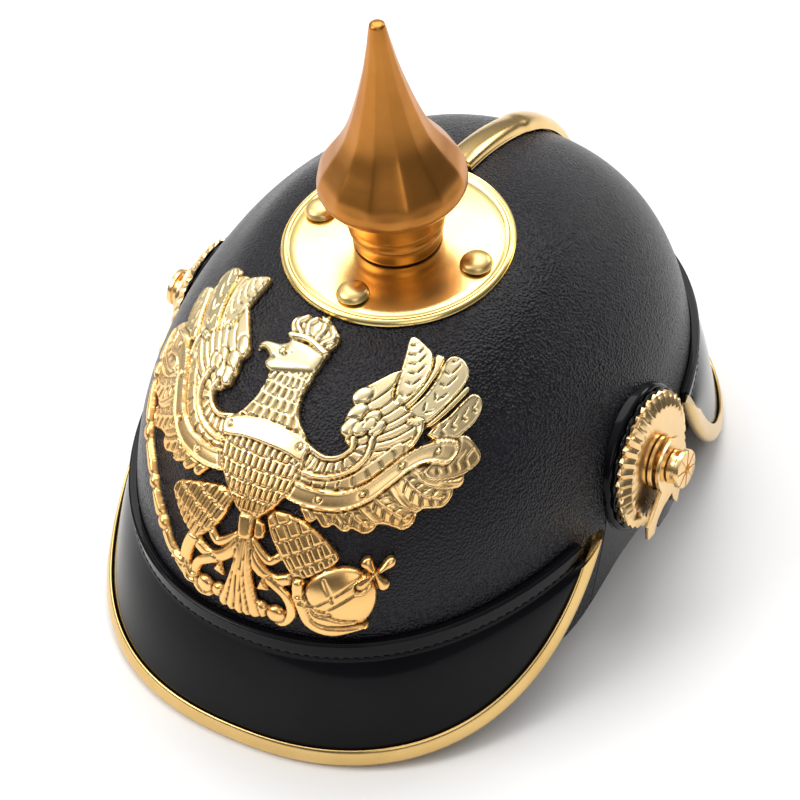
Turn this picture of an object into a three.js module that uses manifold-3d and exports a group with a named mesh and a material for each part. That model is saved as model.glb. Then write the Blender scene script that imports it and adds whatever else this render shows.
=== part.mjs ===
// Spiked helmet: black leather skull and visors, brass fittings, pierced eagle plate.
// Millimetres, +Z up, front towards -Y, the wearer's left towards +X.
// Everything is laid out with the spike upright and its plate's rim at z = 0,
// then leaned forward so that the helmet stands on its two visor trims.
import * as THREE from 'three';
import { mergeVertices } from 'three/addons/utils/BufferGeometryUtils.js';
import Module from 'manifold-3d';

const wasm = await Module();
wasm.setup();

// ---- driving dimensions ----
const gap = 0.3;
const skull = {
  halfWidth: 89.05, frontLength: 123.3, backLength: 113.6, centreY: 6.3,
  crownZ: -1.1, height: 104.0, sideFullness: 2.71, topFullness: 2.78, planFullness: 2.19,
  wall: 2.5, edgeZ: -103.6, crownLift: 2.1, liftFrom: 38, liftTo: 82, roundRadius: 111,
};
// The skull's lower edge drops towards the front, under the visor.
const frontDip = { depth: 14, fromY: -8, toY: -48 };
const skullMesh = { around: 36, down: 11 };
const stand = { leanDegrees: 4.36, centreY: -12.98, raise: 130.77 };
const seamZ = -77.5;
const frontVisor = {
  turn: 1, reach: 92, sheetReach: 84, seamShare: 0.78, width: 89.0, length: 100.7, startY: -31.8,
  lowZ: -119.1, rise: 35.4, riseCurve: 2.46, tipRise: 3.4, plan: 2.3, sideFlare: 0.3, thick: 2.0,
};
const rearVisor = {
  turn: -1, reach: 92, sheetReach: 83, seamShare: 0.80, width: 88.6, length: 99.0, startY: 40.0,
  lowZ: -138.0, rise: 56, riseCurve: 4.0, tipRise: 2, plan: 2.08, sideFlare: 1.6, thick: 2.0,
};
const trimSection = { upper: 4.8, lower: 3.4, wall: 0.8, nose: 1.0, clearance: 0.45 };
const spineSize = { ribHalf: 3.6, ribHeight: 4.2, flange: 2.2, flangeThick: 0.9, startY: 41.2 };
const plate = { radius: 40, rimInner: 37.4, topZ: 1.9, studCircle: 30.3, studRadius: 5.3, studHeight: 3.6 };
const spikeSize = { flutes: 12, fluteDepth: 0.035, footZ: 25.1, tipZ: 94.6 };
const rosetteSeat = { x: 90.6, y: 6.5, z: -72.8, lean: 5.5 };
const rosetteSize = { radius: 24.7, teeth: 36, toothDepth: 1.3, crown: 3.6, crownRadius: 19.5 };
const postSize = { neck: 4.2, flange: 10, flangeThick: 1.7, shank: 6.2, knob: 7.0, length: 14.2 };
const lugSize = { low: 7.3, thick: 1.5, ring: 10.4, backingThick: 1.2 };
const boss = { radius: 26.4, depth: 14, low: -3.2, top: -1.9, edge: 2.2 };
const underDiscSize = { radius: 25.4, scallops: 20, depth: 1.0, low: -1.55, top: -0.75 };
const eagleSeat = { centreU: -2.6, riseV: -2.8, clearance: 0.45 };

// ---- materials ----
const paint = (hex, roughness, metalness) =>
  new THREE.MeshStandardMaterial({ color: hex, roughness, metalness });
const leather = () => paint(0x17151a, 0.5, 0);
const patent = () => paint(0x0b0b0e, 0.15, 0);
const brass = () => paint(0xd8b25a, 0.3, 1);
const paleBrass = () => paint(0xe9cf86, 0.25, 1);
const bronze = () => paint(0xb0793a, 0.4, 1);

// ---- small helpers ----
const vec = (x, y, z) => new THREE.Vector3(x, y, z);
const rad = THREE.MathUtils.degToRad;
const smooth = (value, from, to) => THREE.MathUtils.smoothstep(value, from, to);
const span = (count, from, to) =>
  Array.from({ length: count + 1 }, (_, i) => from + ((to - from) * i) / count);

function signedVolume(points, faces) {
  let sum = 0;
  for (let i = 0; i < faces.length; i += 3) {
    const [a, b, c] = [points[faces[i]], points[faces[i + 1]], points[faces[i + 2]]];
    sum += a.dot(b.clone().cross(c));
  }
  return sum;
}

function solidFrom(points, faces) {
  const flipped = signedVolume(points, faces) < 0;
  const index = [];
  for (let i = 0; i < faces.length; i += 3) {
    index.push(faces[i], faces[flipped ? i + 2 : i + 1], faces[flipped ? i + 1 : i + 2]);
  }
  const geometry = new THREE.BufferGeometry();
  const numbers = points.flatMap((p) => [p.x, p.y, p.z]);
  geometry.setAttribute('position', new THREE.Float32BufferAttribute(numbers, 3));
  geometry.setIndex(index);
  return geometry;
}

// A closed skin between two grids of points, rows across and columns along.
function slab(top, bottom) {
  const rows = top.length;
  const cols = top[0].length;
  const points = [...top.flat(), ...bottom.flat()];
  const at = (side, i, j) => side * rows * cols + i * cols + j;
  const faces = [];
  const quad = (a, b, c, d) => faces.push(a, b, c, a, c, d);
  for (let i = 0; i < rows - 1; i += 1) {
    for (let j = 0; j < cols - 1; j += 1) {
      quad(at(0, i, j), at(0, i + 1, j), at(0, i + 1, j + 1), at(0, i, j + 1));
      quad(at(1, i, j), at(1, i, j + 1), at(1, i + 1, j + 1), at(1, i + 1, j));
    }
    quad(at(0, i, 0), at(1, i, 0), at(1, i + 1, 0), at(0, i + 1, 0));
    quad(at(0, i, cols - 1), at(0, i + 1, cols - 1), at(1, i + 1, cols - 1), at(1, i, cols - 1));
  }
  for (let j = 0; j < cols - 1; j += 1) {
    quad(at(0, 0, j), at(0, 0, j + 1), at(1, 0, j + 1), at(1, 0, j));
    quad(at(0, rows - 1, j), at(1, rows - 1, j), at(1, rows - 1, j + 1), at(0, rows - 1, j + 1));
  }
  return solidFrom(points, faces);
}

// Closed rings joined in order between two end points.
function loft(first, rings, last) {
  const count = rings[0].length;
  const points = [first, ...rings.flat(), last];
  const end = points.length - 1;
  const at = (ring, j) => 1 + ring * count + (j % count);
  const faces = [];
  for (let j = 0; j < count; j += 1) {
    faces.push(0, at(0, j), at(0, j + 1));
    faces.push(end, at(rings.length - 1, j + 1), at(rings.length - 1, j));
    for (let ring = 0; ring < rings.length - 1; ring += 1) {
      faces.push(at(ring, j), at(ring + 1, j), at(ring + 1, j + 1));
      faces.push(at(ring, j), at(ring + 1, j + 1), at(ring, j + 1));
    }
  }
  return solidFrom(points, faces);
}

function toManifold(geometry) {
  const clean = geometry.clone();
  clean.deleteAttribute('normal');
  clean.deleteAttribute('uv');
  const merged = mergeVertices(clean, 1e-4);
  return new wasm.Manifold(new wasm.Mesh({
    numProp: 3,
    vertProperties: new Float32Array(merged.attributes.position.array),
    triVerts: new Uint32Array(merged.index.array),
  }));
}

function fromManifold(body) {
  const mesh = body.getMesh();
  const geometry = new THREE.BufferGeometry();
  geometry.setAttribute('position', new THREE.BufferAttribute(new Float32Array(mesh.vertProperties), 3));
  geometry.setIndex(new THREE.BufferAttribute(new Uint32Array(mesh.triVerts), 1));
  return geometry;
}

const joined = (bodies) => bodies.reduce((sum, body) => sum.add(body));

// Turns a profile of [radius, height] steps, both ends on the axis.
function turned(profile, segments) {
  return new THREE.LatheGeometry(profile.map(([r, h]) => new THREE.Vector2(r, h)), segments)
    .rotateX(Math.PI / 2);
}

// ---- skull surface ----
// angle 0 is the front, growing towards the wearer's left; drop 0 is the crown.
function skullPoint(angle, drop) {
  const side = Math.sin(angle);
  const ahead = Math.cos(angle);
  const full = skull.planFullness;
  const round = (Math.abs(side) ** full + Math.abs(ahead) ** full) ** (-1 / full);
  const curved = Math.min(drop, Math.PI / 2);
  const reach = Math.sin(curved) ** (2 / skull.sideFullness);
  const fall = 1 - Math.max(Math.cos(curved), 0) ** (2 / skull.topFullness);
  const along = ahead > 0 ? skull.frontLength : skull.backLength;
  const oval = vec(skull.halfWidth * round * side, -along * round * ahead, 0);
  const circle = vec(skull.roundRadius * side, -skull.roundRadius * ahead, 0);
  const share = smooth(reach, 0.3, 0.72);
  const flat = circle.lerp(oval, share).multiplyScalar(reach);
  const z = skull.crownZ - skull.height * (fall + drop - curved);
  const spread = Math.hypot(flat.x, flat.y + skull.centreY);
  const lift = skull.crownLift * (1 - smooth(spread, skull.liftFrom, skull.liftTo));
  return vec(flat.x, flat.y + skull.centreY, z + lift);
}

function skullNormal(angle, drop) {
  const step = 0.004;
  const low = Math.max(drop, 0.02);
  const across = skullPoint(angle + step, low).sub(skullPoint(angle - step, low));
  const down = skullPoint(angle, low + step).sub(skullPoint(angle, Math.max(low - step, 0)));
  return down.cross(across).normalize();
}

const skullOut = (angle, drop, out) =>
  skullPoint(angle, drop).addScaledVector(skullNormal(angle, drop), out);

function dropAt(angle, z) {
  let low = 0;
  let high = 2;
  for (let i = 0; i < 40; i += 1) {
    const middle = (low + high) / 2;
    if (skullPoint(angle, middle).z > z) low = middle;
    else high = middle;
  }
  return (low + high) / 2;
}

// The skull's shape grown by a distance; with a wall it is hollow and open below.
function skullSolid(outer, wall) {
  const angles = span(skullMesh.around, 0, Math.PI * 2).slice(0, skullMesh.around);
  const edges = angles.map((angle) => {
    const y = skullPoint(angle, Math.PI / 2).y;
    const dip = 1 - smooth(y, frontDip.toY, frontDip.fromY);
    return dropAt(angle, skull.edgeZ - frontDip.depth * dip);
  });
  const parts = span(skullMesh.down, 0, 1).slice(1).map((part) => part ** 0.9);
  const ring = (part, out) => angles.map((angle, i) => skullOut(angle, edges[i] * part, out));
  const crown = skullPoint(0, 0);
  const outerRings = parts.map((part) => ring(part, outer));
  const top = crown.clone().setZ(crown.z + outer);
  if (!wall) return loft(top, outerRings, vec(0, skull.centreY, skull.edgeZ));
  const innerRings = parts.map((part) => ring(part, outer - wall)).reverse();
  return loft(top, [...outerRings, ...innerRings], crown.clone().setZ(crown.z + outer - wall));
}

const skullBody = skullSolid(0, skull.wall);
const skullSpace = toManifold(skullSolid(gap, 0));

// ---- visors ----
function visorEdge(visor, degrees) {
  const phi = rad(degrees);
  const side = Math.sin(phi);
  const ahead = Math.cos(phi);
  const round = (Math.abs(side) ** visor.plan + Math.abs(ahead) ** visor.plan) ** (-1 / visor.plan);
  const back = Math.min(Math.max(1 - ahead * round, 0), 1.2);
  const width = visor.width + visor.sideFlare * back ** 6;
  const z = visor.lowZ + visor.rise * back ** visor.riseCurve + visor.tipRise * back ** 12;
  return vec(width * side * round, visor.startY - visor.turn * visor.length * ahead * round, z);
}

// Station across a visor: 0 at its seam bead, 1 at its free edge.
function visorPoint(visor, degrees, part) {
  const turnTo = visor.turn > 0 ? 0 : Math.PI;
  const angle = turnTo + visor.turn * rad(degrees) * visor.seamShare;
  const hug = 0.22;
  const z = seamZ + 2 - 8 * Math.min(part / hug, 1);
  const seam = skullOut(angle, dropAt(angle, z), gap + visor.thick);
  if (part <= hug) return seam;
  const edge = visorEdge(visor, degrees);
  const t = (part - hug) / (1 - hug);
  const out = seam.clone().sub(vec(0, skull.centreY, seam.z)).setZ(0).normalize();
  const bulge = 8 * t * (1 - t) ** 2;
  return seam.lerp(edge, t).addScaledVector(out, bulge);
}

function visorFrame(visor, degrees) {
  const hold = Math.max(-visor.sheetReach, Math.min(visor.sheetReach, degrees));
  const along = visorEdge(visor, degrees + 1).sub(visorEdge(visor, degrees - 1)).normalize();
  const across = visorPoint(visor, hold, 1).sub(visorPoint(visor, hold, 0.88));
  across.addScaledVector(along, -across.dot(along)).normalize();
  const up = along.clone().cross(across).normalize();
  if (up.z + 0.3 * up.y * -visor.turn < 0) up.negate();
  return { along, across, up };
}

const visorStations = 24;
const sheetAngles = (visor) => span(visorStations, -visor.sheetReach, visor.sheetReach);

function visorSheet(visor) {
  const parts = [0, 0.08, 0.16, 0.22, 0.6, 1];
  const angles = sheetAngles(visor);
  const top = angles.map((degrees) => parts.map((part) => visorPoint(visor, degrees, part)));
  const normal = (i, j) => {
    const before = top[Math.max(i - 1, 0)][j];
    const after = top[Math.min(i + 1, top.length - 1)][j];
    const inward = top[i][Math.max(j - 1, 0)];
    const outward = top[i][Math.min(j + 1, parts.length - 1)];
    const n = after.clone().sub(before).cross(outward.clone().sub(inward)).normalize();
    const centre = vec(0, skull.centreY, skull.edgeZ);
    return n.dot(top[i][j].clone().sub(centre)) < 0 ? n.negate() : n;
  };
  const normals = top.map((row, i) => row.map((_, j) => normal(i, j)));
  const bead = [0.5, 1.1, 0, 0, 0, 0];
  const upper = top.map((row, i) => row.map((p, j) => p.clone().addScaledVector(normals[i][j], bead[j])));
  const lower = top.map((row, i) =>
    row.map((p, j) => p.clone().addScaledVector(normals[i][j], -visor.thick)));
  return slab(upper, lower);
}

function trimSolid(visor) {
  const tips = [visor.reach, (visor.reach + visor.sheetReach) / 2];
  const angles = [...tips.map((angle) => -angle), ...sheetAngles(visor), ...tips.reverse()];
  const half = visor.thick / 2 + trimSection.clearance;
  const outerPath = [
    [-trimSection.upper, half + trimSection.wall * 0.9], [-0.4, half + trimSection.wall],
    [trimSection.nose + trimSection.wall, half * 0.5], [trimSection.nose + trimSection.wall, -half * 0.5],
    [-0.4, -half - trimSection.wall], [-trimSection.lower, -half - trimSection.wall * 0.9],
  ];
  const innerPath = [
    [-trimSection.upper, half], [-0.4, half], [trimSection.nose * 0.7, half * 0.4],
    [trimSection.nose * 0.7, -half * 0.4], [-0.4, -half], [-trimSection.lower, -half],
  ];
  const place = (degrees, path) => {
    const { across, up } = visorFrame(visor, degrees);
    const middle = visorEdge(visor, degrees).addScaledVector(up, -visor.thick / 2);
    return path.map(([s, n]) => middle.clone().addScaledVector(across, s).addScaledVector(up, n));
  };
  return slab(angles.map((a) => place(a, outerPath)), angles.map((a) => place(a, innerPath)));
}

// ---- spine ----
function spineSolid() {
  const steps = 13;
  let start = 0.02;
  while (skullPoint(Math.PI, start).y < spineSize.startY) start += 0.002;
  const end = dropAt(Math.PI, seamZ + 3.4);
  const { ribHalf, ribHeight, flange, flangeThick } = spineSize;
  const upper = [
    [-ribHalf - flange, flangeThick * 0.6], [-ribHalf, flangeThick], [-ribHalf * 0.7, ribHeight * 0.75],
    [0, ribHeight], [ribHalf * 0.7, ribHeight * 0.75], [ribHalf, flangeThick],
    [ribHalf + flange, flangeThick * 0.6],
  ];
  const lower = [-1, -0.6, -0.3, 0, 0.3, 0.6, 1].map((part) => [part * (ribHalf + flange), 0]);
  const place = (drop, path) => {
    const base = skullOut(Math.PI, drop, gap + 0.15);
    const up = skullNormal(Math.PI, drop);
    return path.map(([s, n]) => base.clone().add(vec(s, 0, 0)).addScaledVector(up, n));
  };
  const drops = span(steps, start, end);
  return toManifold(slab(drops.map((d) => place(d, upper)), drops.map((d) => place(d, lower))));
}

// ---- plate, studs, neck and spike ----
function plateSolid() {
  const { radius, rimInner, topZ } = plate;
  const geometry = turned([
    [0, -9], [radius, -9], [radius, -0.5], [radius - 1, 0.4],
    [rimInner + 0.5, 0.3], [rimInner - 0.1, -0.5], [rimInner - 0.8, 0.1], [22, 1.35], [0, topZ],
  ], 32);
  return fromManifold(toManifold(geometry).subtract(skullSpace));
}

const plateTopAt = (r) => (r > 22 ? 1.35 - ((r - 22) * 0.55) / 8 : 1.35 + ((22 - r) * 0.55) / 22);

function studSolid(angleDegrees) {
  const { studCircle, studRadius, studHeight } = plate;
  const seat = plateTopAt(studCircle - studRadius) + gap;
  const rise = span(3, 0, 1).map((part) => [
    studRadius * Math.cos((part * Math.PI) / 2), 0.5 + (studHeight - 0.5) * Math.sin((part * Math.PI) / 2)]);
  rise[rise.length - 1][0] = 0;
  const a = rad(angleDegrees);
  return turned([[0, 0], [studRadius, 0], ...rise], 12)
    .translate(studCircle * Math.sin(a), -studCircle * Math.cos(a), seat);
}

function neckSolid() {
  const foot = plateTopAt(0) + gap;
  return turned([
    [0, foot], [21, foot], [20.6, foot + 0.5], [18.2, 3.4], [16.6, 4.9], [16.4, 6.7], [17.2, 7.3],
    [17.2, 8.3],
    [16.4, 8.9], [16.4, 10.3], [17.8, 11.0], [17.8, 12.2], [17.4, 13.0], [18.2, 18.5], [20.4, 23.2],
    [20.8, spikeSize.footZ - gap], [0, spikeSize.footZ - gap],
  ], 20);
}

function spikeSolid() {
  const profile = [
    [23.4, 25.1], [24.6, 26.0], [25.4, 28.2], [25.1, 30.6], [23.6, 34.2], [20.6, 39], [17.0, 44], [13.9, 50],
    [10.3, 60], [6.3, 75], [3.8, 88], [2.6, 93.4], [1.3, 94.3],
  ];
  const around = spikeSize.flutes * 2;
  const ring = ([r, z]) => span(around, 0, Math.PI * 2).slice(0, around).map((angle, k) => {
    const fade = smooth(z, 26, 32) * (1 - smooth(z, 82, 92));
    const depth = k % 2 ? 1 - spikeSize.fluteDepth * fade : 1;
    return vec(r * depth * Math.cos(angle), r * depth * Math.sin(angle), z);
  });
  return loft(vec(0, 0, spikeSize.footZ), profile.map(ring), vec(0, 0, spikeSize.tipZ));
}

// ---- eagle plate ----
// Flat layout: u across, v up from the skull's widest line; then wrapped on the skull's front.
const frontHeights = (() => {
  const list = [];
  let total = 0;
  const drops = span(240, 0, Math.PI / 2);
  for (let i = drops.length - 1; i > 0; i -= 1) {
    list.push({ drop: drops[i], v: total });
    total += skullPoint(0, drops[i]).distanceTo(skullPoint(0, drops[i - 1]));
  }
  return list;
})();

function dropForHeight(v) {
  const after = frontHeights.findIndex((row) => row.v > v);
  const a = frontHeights[after - 1];
  const b = frontHeights[after];
  return a.drop + ((b.drop - a.drop) * (v - a.v)) / (b.v - a.v);
}

function angleForWidth(u, drop) {
  const step = 0.02;
  let angle = 0;
  let left = Math.abs(u);
  for (;;) {
    const length = skullPoint(angle, drop).distanceTo(skullPoint(angle + step, drop));
    if (length >= left) return Math.sign(u) * (angle + (step * left) / length);
    left -= length;
    angle += step;
  }
}

function wrapOnFront(p) {
  const drop = dropForHeight(p[1] + eagleSeat.riseV);
  const angle = angleForWidth(p[0] + eagleSeat.centreU, drop);
  const out = skullOut(angle, drop, eagleSeat.clearance + p[2]);
  p[0] = out.x;
  p[1] = out.y;
  p[2] = out.z;
}

function sheet(outline, thick, from = 0) {
  const shape = new THREE.Shape(outline.map(([u, v]) => new THREE.Vector2(u, v)));
  const geometry = new THREE.ExtrudeGeometry(shape, { depth: thick, bevelEnabled: false, curveSegments: 6 });
  return toManifold(geometry.translate(0, 0, from));
}

function feather({ rootU, rootV, tipU, tipV, width, thick }) {
  const along = new THREE.Vector2(tipU - rootU, tipV - rootV);
  const length = along.length();
  along.normalize();
  const half = [[0, 0.42], [0.35, 0.8], [0.72, 1], [0.93, 0.62], [1, 0.12]];
  const row = (sign) => half.map(([t, w]) => [
    rootU + along.x * length * t - (along.y * sign * w * width) / 2,
    rootV + along.y * length * t + (along.x * sign * w * width) / 2,
  ]);
  return sheet([...row(-1), ...row(1).reverse()], thick);
}

function disc(u, v, ru, rv, thick, count = 12) {
  const angles = span(count, 0, Math.PI * 2).slice(0, count);
  return sheet(angles.map((a) => [u + ru * Math.cos(a), v + rv * Math.sin(a)]), thick);
}

// A band of even width along a bent line of points.
function strip(points, width, thick) {
  const side = points.map(([u, v], i) => {
    const a = points[Math.max(i - 1, 0)];
    const b = points[Math.min(i + 1, points.length - 1)];
    const run = new THREE.Vector2(b[0] - a[0], b[1] - a[1]).setLength(width / 2);
    return [[u - run.y, v + run.x], [u + run.y, v - run.x]];
  });
  return sheet([...side.map((pair) => pair[1]), ...side.map((pair) => pair[0]).reverse()], thick);
}

// One wing; u is the distance from the eagle's middle line.
const wingFeathers = [
  { rootU: 33, rootV: 108, tipU: 30.5, tipV: 142, width: 11, thick: 1.5 },
  { rootU: 34, rootV: 108, tipU: 42, tipV: 138, width: 11, thick: 1.7 },
  { rootU: 36, rootV: 106, tipU: 53, tipV: 129, width: 12, thick: 1.5 },
  { rootU: 38, rootV: 104, tipU: 64, tipV: 118, width: 12, thick: 1.7 },
  { rootU: 38, rootV: 100, tipU: 71, tipV: 106, width: 12, thick: 1.5 },
  { rootU: 36, rootV: 96, tipU: 75, tipV: 93, width: 12, thick: 1.7 },
  { rootU: 34, rootV: 94, tipU: 70, tipV: 83, width: 10, thick: 1.5 },
  { rootU: 30, rootV: 92, tipU: 61, tipV: 76, width: 10, thick: 1.7 },
  { rootU: 26, rootV: 91, tipU: 49, tipV: 73.5, width: 10, thick: 1.5 },
  { rootU: 20, rootV: 91, tipU: 38, tipV: 74, width: 9.5, thick: 1.7 },
  { rootU: 14, rootV: 91, tipU: 27, tipV: 76, width: 9, thick: 1.5 },
  { rootU: 30, rootV: 104, tipU: 21, tipV: 124, width: 9, thick: 1.8 },
  { rootU: 31, rootV: 106, tipU: 29, tipV: 130, width: 9, thick: 1.8 },
];
const wingArm = [[8, 99], [14, 94.5], [24, 92.5], [34, 96], [40, 104], [38, 112], [31, 118]];
const wingBand = [[9, 93], [20, 87], [33, 83.5], [45, 88], [54, 94.5], [66, 95]];

function wing(mirror) {
  const across = (list) => list.map(([u, v]) => [u * mirror, v]);
  const order = (list) => (mirror < 0 ? across(list) : list);
  return joined([
    ...wingFeathers.map((row) => feather({ ...row, rootU: row.rootU * mirror, tipU: row.tipU * mirror })),
    strip(order(wingArm), 9.5, 2.2),
    strip(order(wingBand), 5.2, 2.4),
  ]);
}

function leg(side, claw) {
  const knee = [side * 15, 70];
  return joined([
    feather({ rootU: side * 6, rootV: 79, tipU: knee[0] + side * 11, tipV: 60, width: 17, thick: 2.2 }),
    strip([[side * 20, 62], [side * 15, 54], claw], 3.4, 1.8),
    disc(claw[0], claw[1], 4.2, 3.4, 2.3, 8),
  ]);
}

function eagleSolid() {
  const breast = [[-18, 100], [-14, 84], [-6, 74], [0, 71], [6, 74], [14, 84], [15, 97], [10, 105],
    [9, 112], [7, 122], [2, 132], [-9, 132], [-9, 122], [-13, 108]];
  const scroll = [[-18, 98.5], [13.2, 102.4], [13.5, 95], [-16, 92.5]];
  const crown = [[-6, 132], [-12, 135.5], [-9.5, 139.8], [-3, 139], [-1.2, 144], [1.2, 139.4], [6, 138],
    [5.4, 135], [3, 131.5]];
  const tail = [[-10.5, 42], [-6, 41], [-1, 40.5], [4, 41], [8.5, 42]].map(([u, v]) =>
    feather({ rootU: u * 0.2, rootV: 74, tipU: u, tipV: v, width: 5.4, thick: 1.9 }));
  const body = joined([
    sheet(breast, 2.2),
    sheet(scroll.toReversed(), 2.9),
    disc(-4.5, 128, 8.2, 6.4, 2.6, 12),
    feather({ rootU: -9, rootV: 127, tipU: -20, tipV: 122.5, width: 5.6, thick: 2.2 }),
    sheet(crown.toReversed(), 2.2),
    wing(1), wing(-1), ...tail,
    leg(-1, [-21.5, 50.5]), leg(1, [25, 52]),
    disc(37.5, 50.8, 11, 12, 2.6, 14),
    strip([[42, 57], [49.5, 63.5]], 2.6, 1.8), strip([[43, 63.4], [49.6, 56.8]], 3, 1.8),
    strip([[26, 50], [27, 42], [35, 39]], 3.6, 2.1),
    strip([[-21, 49], [-37, 56], [-54, 65.5], [-70, 75]], 3.2, 2.1), disc(-72, 76, 4.4, 3.8, 2.4, 8),
    strip([[3, 66], [13, 60], [17, 52], [17.5, 43], [12, 40]], 3.6, 1.7),
    strip([[-3, 66], [-13, 57], [-19, 46], [-13, 42.5]], 3.6, 1.7),
    disc(9.6, 43, 3.4, 3, 2.2, 8), disc(-9.6, 45, 3.4, 3, 2.2, 8),
    disc(0, 70, 4.6, 3, 2.6, 8),
  ]);
  const bent = body.refineToLength(17).warp(wrapOnFront).simplify(0.14);
  return fromManifold(bent);
}

// ---- side fittings ----
function sideSeat(side) {
  const lean = rad(rosetteSeat.lean);
  const out = vec(side * Math.cos(lean), 0, Math.sin(lean));
  const turn = new THREE.Matrix4().makeBasis(
    vec(0, side, 0), vec(-side * Math.sin(lean), 0, Math.cos(lean)), out);
  return turn.setPosition(side * rosetteSeat.x, rosetteSeat.y, rosetteSeat.z);
}

function bossSolid(side) {
  const { radius, depth, low, top, edge } = boss;
  const geometry = turned([
    [0, -depth], [radius, -depth], [radius, low], [radius - edge * 0.35, top - 0.3],
    [radius - edge, top], [0, top],
  ], 24).applyMatrix4(sideSeat(side));
  return fromManifold(toManifold(geometry).subtract(skullSpace));
}

function toothedDisc(radius, teeth, depth, levels, back) {
  const count = teeth * 2;
  const ring = (r, z, share) => span(count, 0, Math.PI * 2).slice(0, count).map((angle, k) => {
    const cut = k % 2 ? depth * share : 0;
    return vec((r - cut) * Math.cos(angle), (r - cut) * Math.sin(angle), z);
  });
  return loft(vec(0, 0, back), levels.map(([r, z, share]) => ring(r, z, share)), vec(0, 0, levels.at(-1)[1]));
}

function underDisc(side) {
  const { radius, scallops, depth, low, top } = underDiscSize;
  return toothedDisc(radius, scallops, depth, [[radius, low, 1], [radius, top, 1]], low)
    .applyMatrix4(sideSeat(side));
}

function rosetteSolid(side) {
  const { radius, teeth, toothDepth, crown, crownRadius } = rosetteSize;
  return toothedDisc(radius, teeth, toothDepth, [
    [radius, -0.45, 1], [radius, 0.35, 1], [crownRadius, crown, 0.25],
  ], -0.45).applyMatrix4(sideSeat(side));
}

function postSolid(side) {
  const { neck, flange, flangeThick, shank, knob, length } = postSize;
  const base = rosetteSize.crown + gap;
  const knobLow = lugSize.low + lugSize.thick + gap;
  return turned([
    [0, base], [flange, base], [flange, base + flangeThick * 0.8], [flange - 0.5, base + flangeThick],
    [neck, base + flangeThick], [neck, knobLow], [shank, knobLow], [shank, length - 2.3], [knob, length - 2],
    [knob, length - 0.5], [knob - 0.6, length], [0, length],
  ], 20).applyMatrix4(sideSeat(side));
}

// A flat outline of [forward, up] points, cut at a height above the rosette's rim.
function flatPiece(side, outline, hole, low, thick) {
  const shape = new THREE.Shape(outline.map(([forward, up]) => new THREE.Vector2(forward, up)));
  if (hole > 0) {
    const rim = span(18, 0, Math.PI * 2).slice(0, 18);
    shape.holes.push(new THREE.Path(
      rim.map((angle) => new THREE.Vector2(hole * Math.cos(angle), hole * Math.sin(angle)))));
  }
  const geometry = new THREE.ExtrudeGeometry(shape, { depth: thick, bevelEnabled: false });
  const body = toManifold(geometry.translate(0, 0, low));
  const facing = side > 0 ? body.mirror([1, 0, 0]) : body;
  return fromManifold(facing).applyMatrix4(sideSeat(side));
}

// Eye plate on the post, with one long pointed leg and one short leg.
const lugLegs = [
  [11.4, -5.5], [16.8, -8.9], [21.0, -10.9], [21.8, -15.9], [17.6, -16.8], [14.2, -13.2], [9.5, -11.4],
  [2.6, -10.9], [2.4, -14.0], [0.4, -17.9], [-2.8, -14.2],
];

function lugSolid(side) {
  const { low, thick, ring } = lugSize;
  const eye = span(22, rad(-114), rad(-26) - Math.PI * 2)
    .map((angle) => [ring * Math.cos(angle), ring * Math.sin(angle)]);
  return flatPiece(side, [...lugLegs, ...eye], postSize.neck + gap, low, thick);
}

// Leather backing behind the eye plate's legs.
const backingOutline = [[1.2, -8.4], [-1.0, -18.6], [3.6, -20.4], [11.6, -20.2], [13.2, -15.4], [12.0, -8.4]];

function backingSolid(side) {
  const { low, backingThick } = lugSize;
  return flatPiece(side, backingOutline.toReversed(), 0, low - gap - backingThick, backingThick);
}

// ---- assembly ----
const group = new THREE.Group();
group.name = 'spiked_helmet';

function place(name, geometry, material) {
  const mesh = new THREE.Mesh(geometry, material);
  mesh.name = name;
  group.add(mesh);
}

place('shell', skullBody, leather());
place('front_visor', visorSheet(frontVisor), patent());
place('rear_visor', visorSheet(rearVisor), patent());
place('front_trim', trimSolid(frontVisor), brass());
place('rear_trim', trimSolid(rearVisor), brass());
place('spine', fromManifold(spineSolid()), brass());
place('base_plate', plateSolid(), paleBrass());
[['front', 0], ['left', 90], ['back', 180], ['right', 270]].forEach(([name, angle]) =>
  place(`base_stud_${name}`, studSolid(angle), paleBrass()));
place('neck', neckSolid(), bronze());
place('spike', spikeSolid(), bronze());
place('eagle_plate', eagleSolid(), paleBrass());
[['left', 1], ['right', -1]].forEach(([name, side]) => {
  place(`side_boss_${name}`, bossSolid(side), patent());
  place(`under_disc_${name}`, underDisc(side), patent());
  place(`rosette_${name}`, rosetteSolid(side), paleBrass());
  place(`post_${name}`, postSolid(side), brass());
  place(`strap_lug_${name}`, lugSolid(side), paleBrass());
  place(`lug_backing_${name}`, backingSolid(side), leather());
});

const pose = new THREE.Matrix4().makeTranslation(0, stand.centreY, stand.raise)
  .multiply(new THREE.Matrix4().makeRotationX(rad(stand.leanDegrees)));
const table = new THREE.BoxGeometry(600, 600, 40).translate(0, 0, -20);
group.children.forEach((mesh) => {
  mesh.geometry.applyMatrix4(pose);
  if (mesh.name.endsWith('_trim')) {
    mesh.geometry = fromManifold(toManifold(mesh.geometry).subtract(toManifold(table)));
  }
});
export default group;
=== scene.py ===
import math
import bpy
import numpy as np
from mathutils import Matrix, Vector


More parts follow.
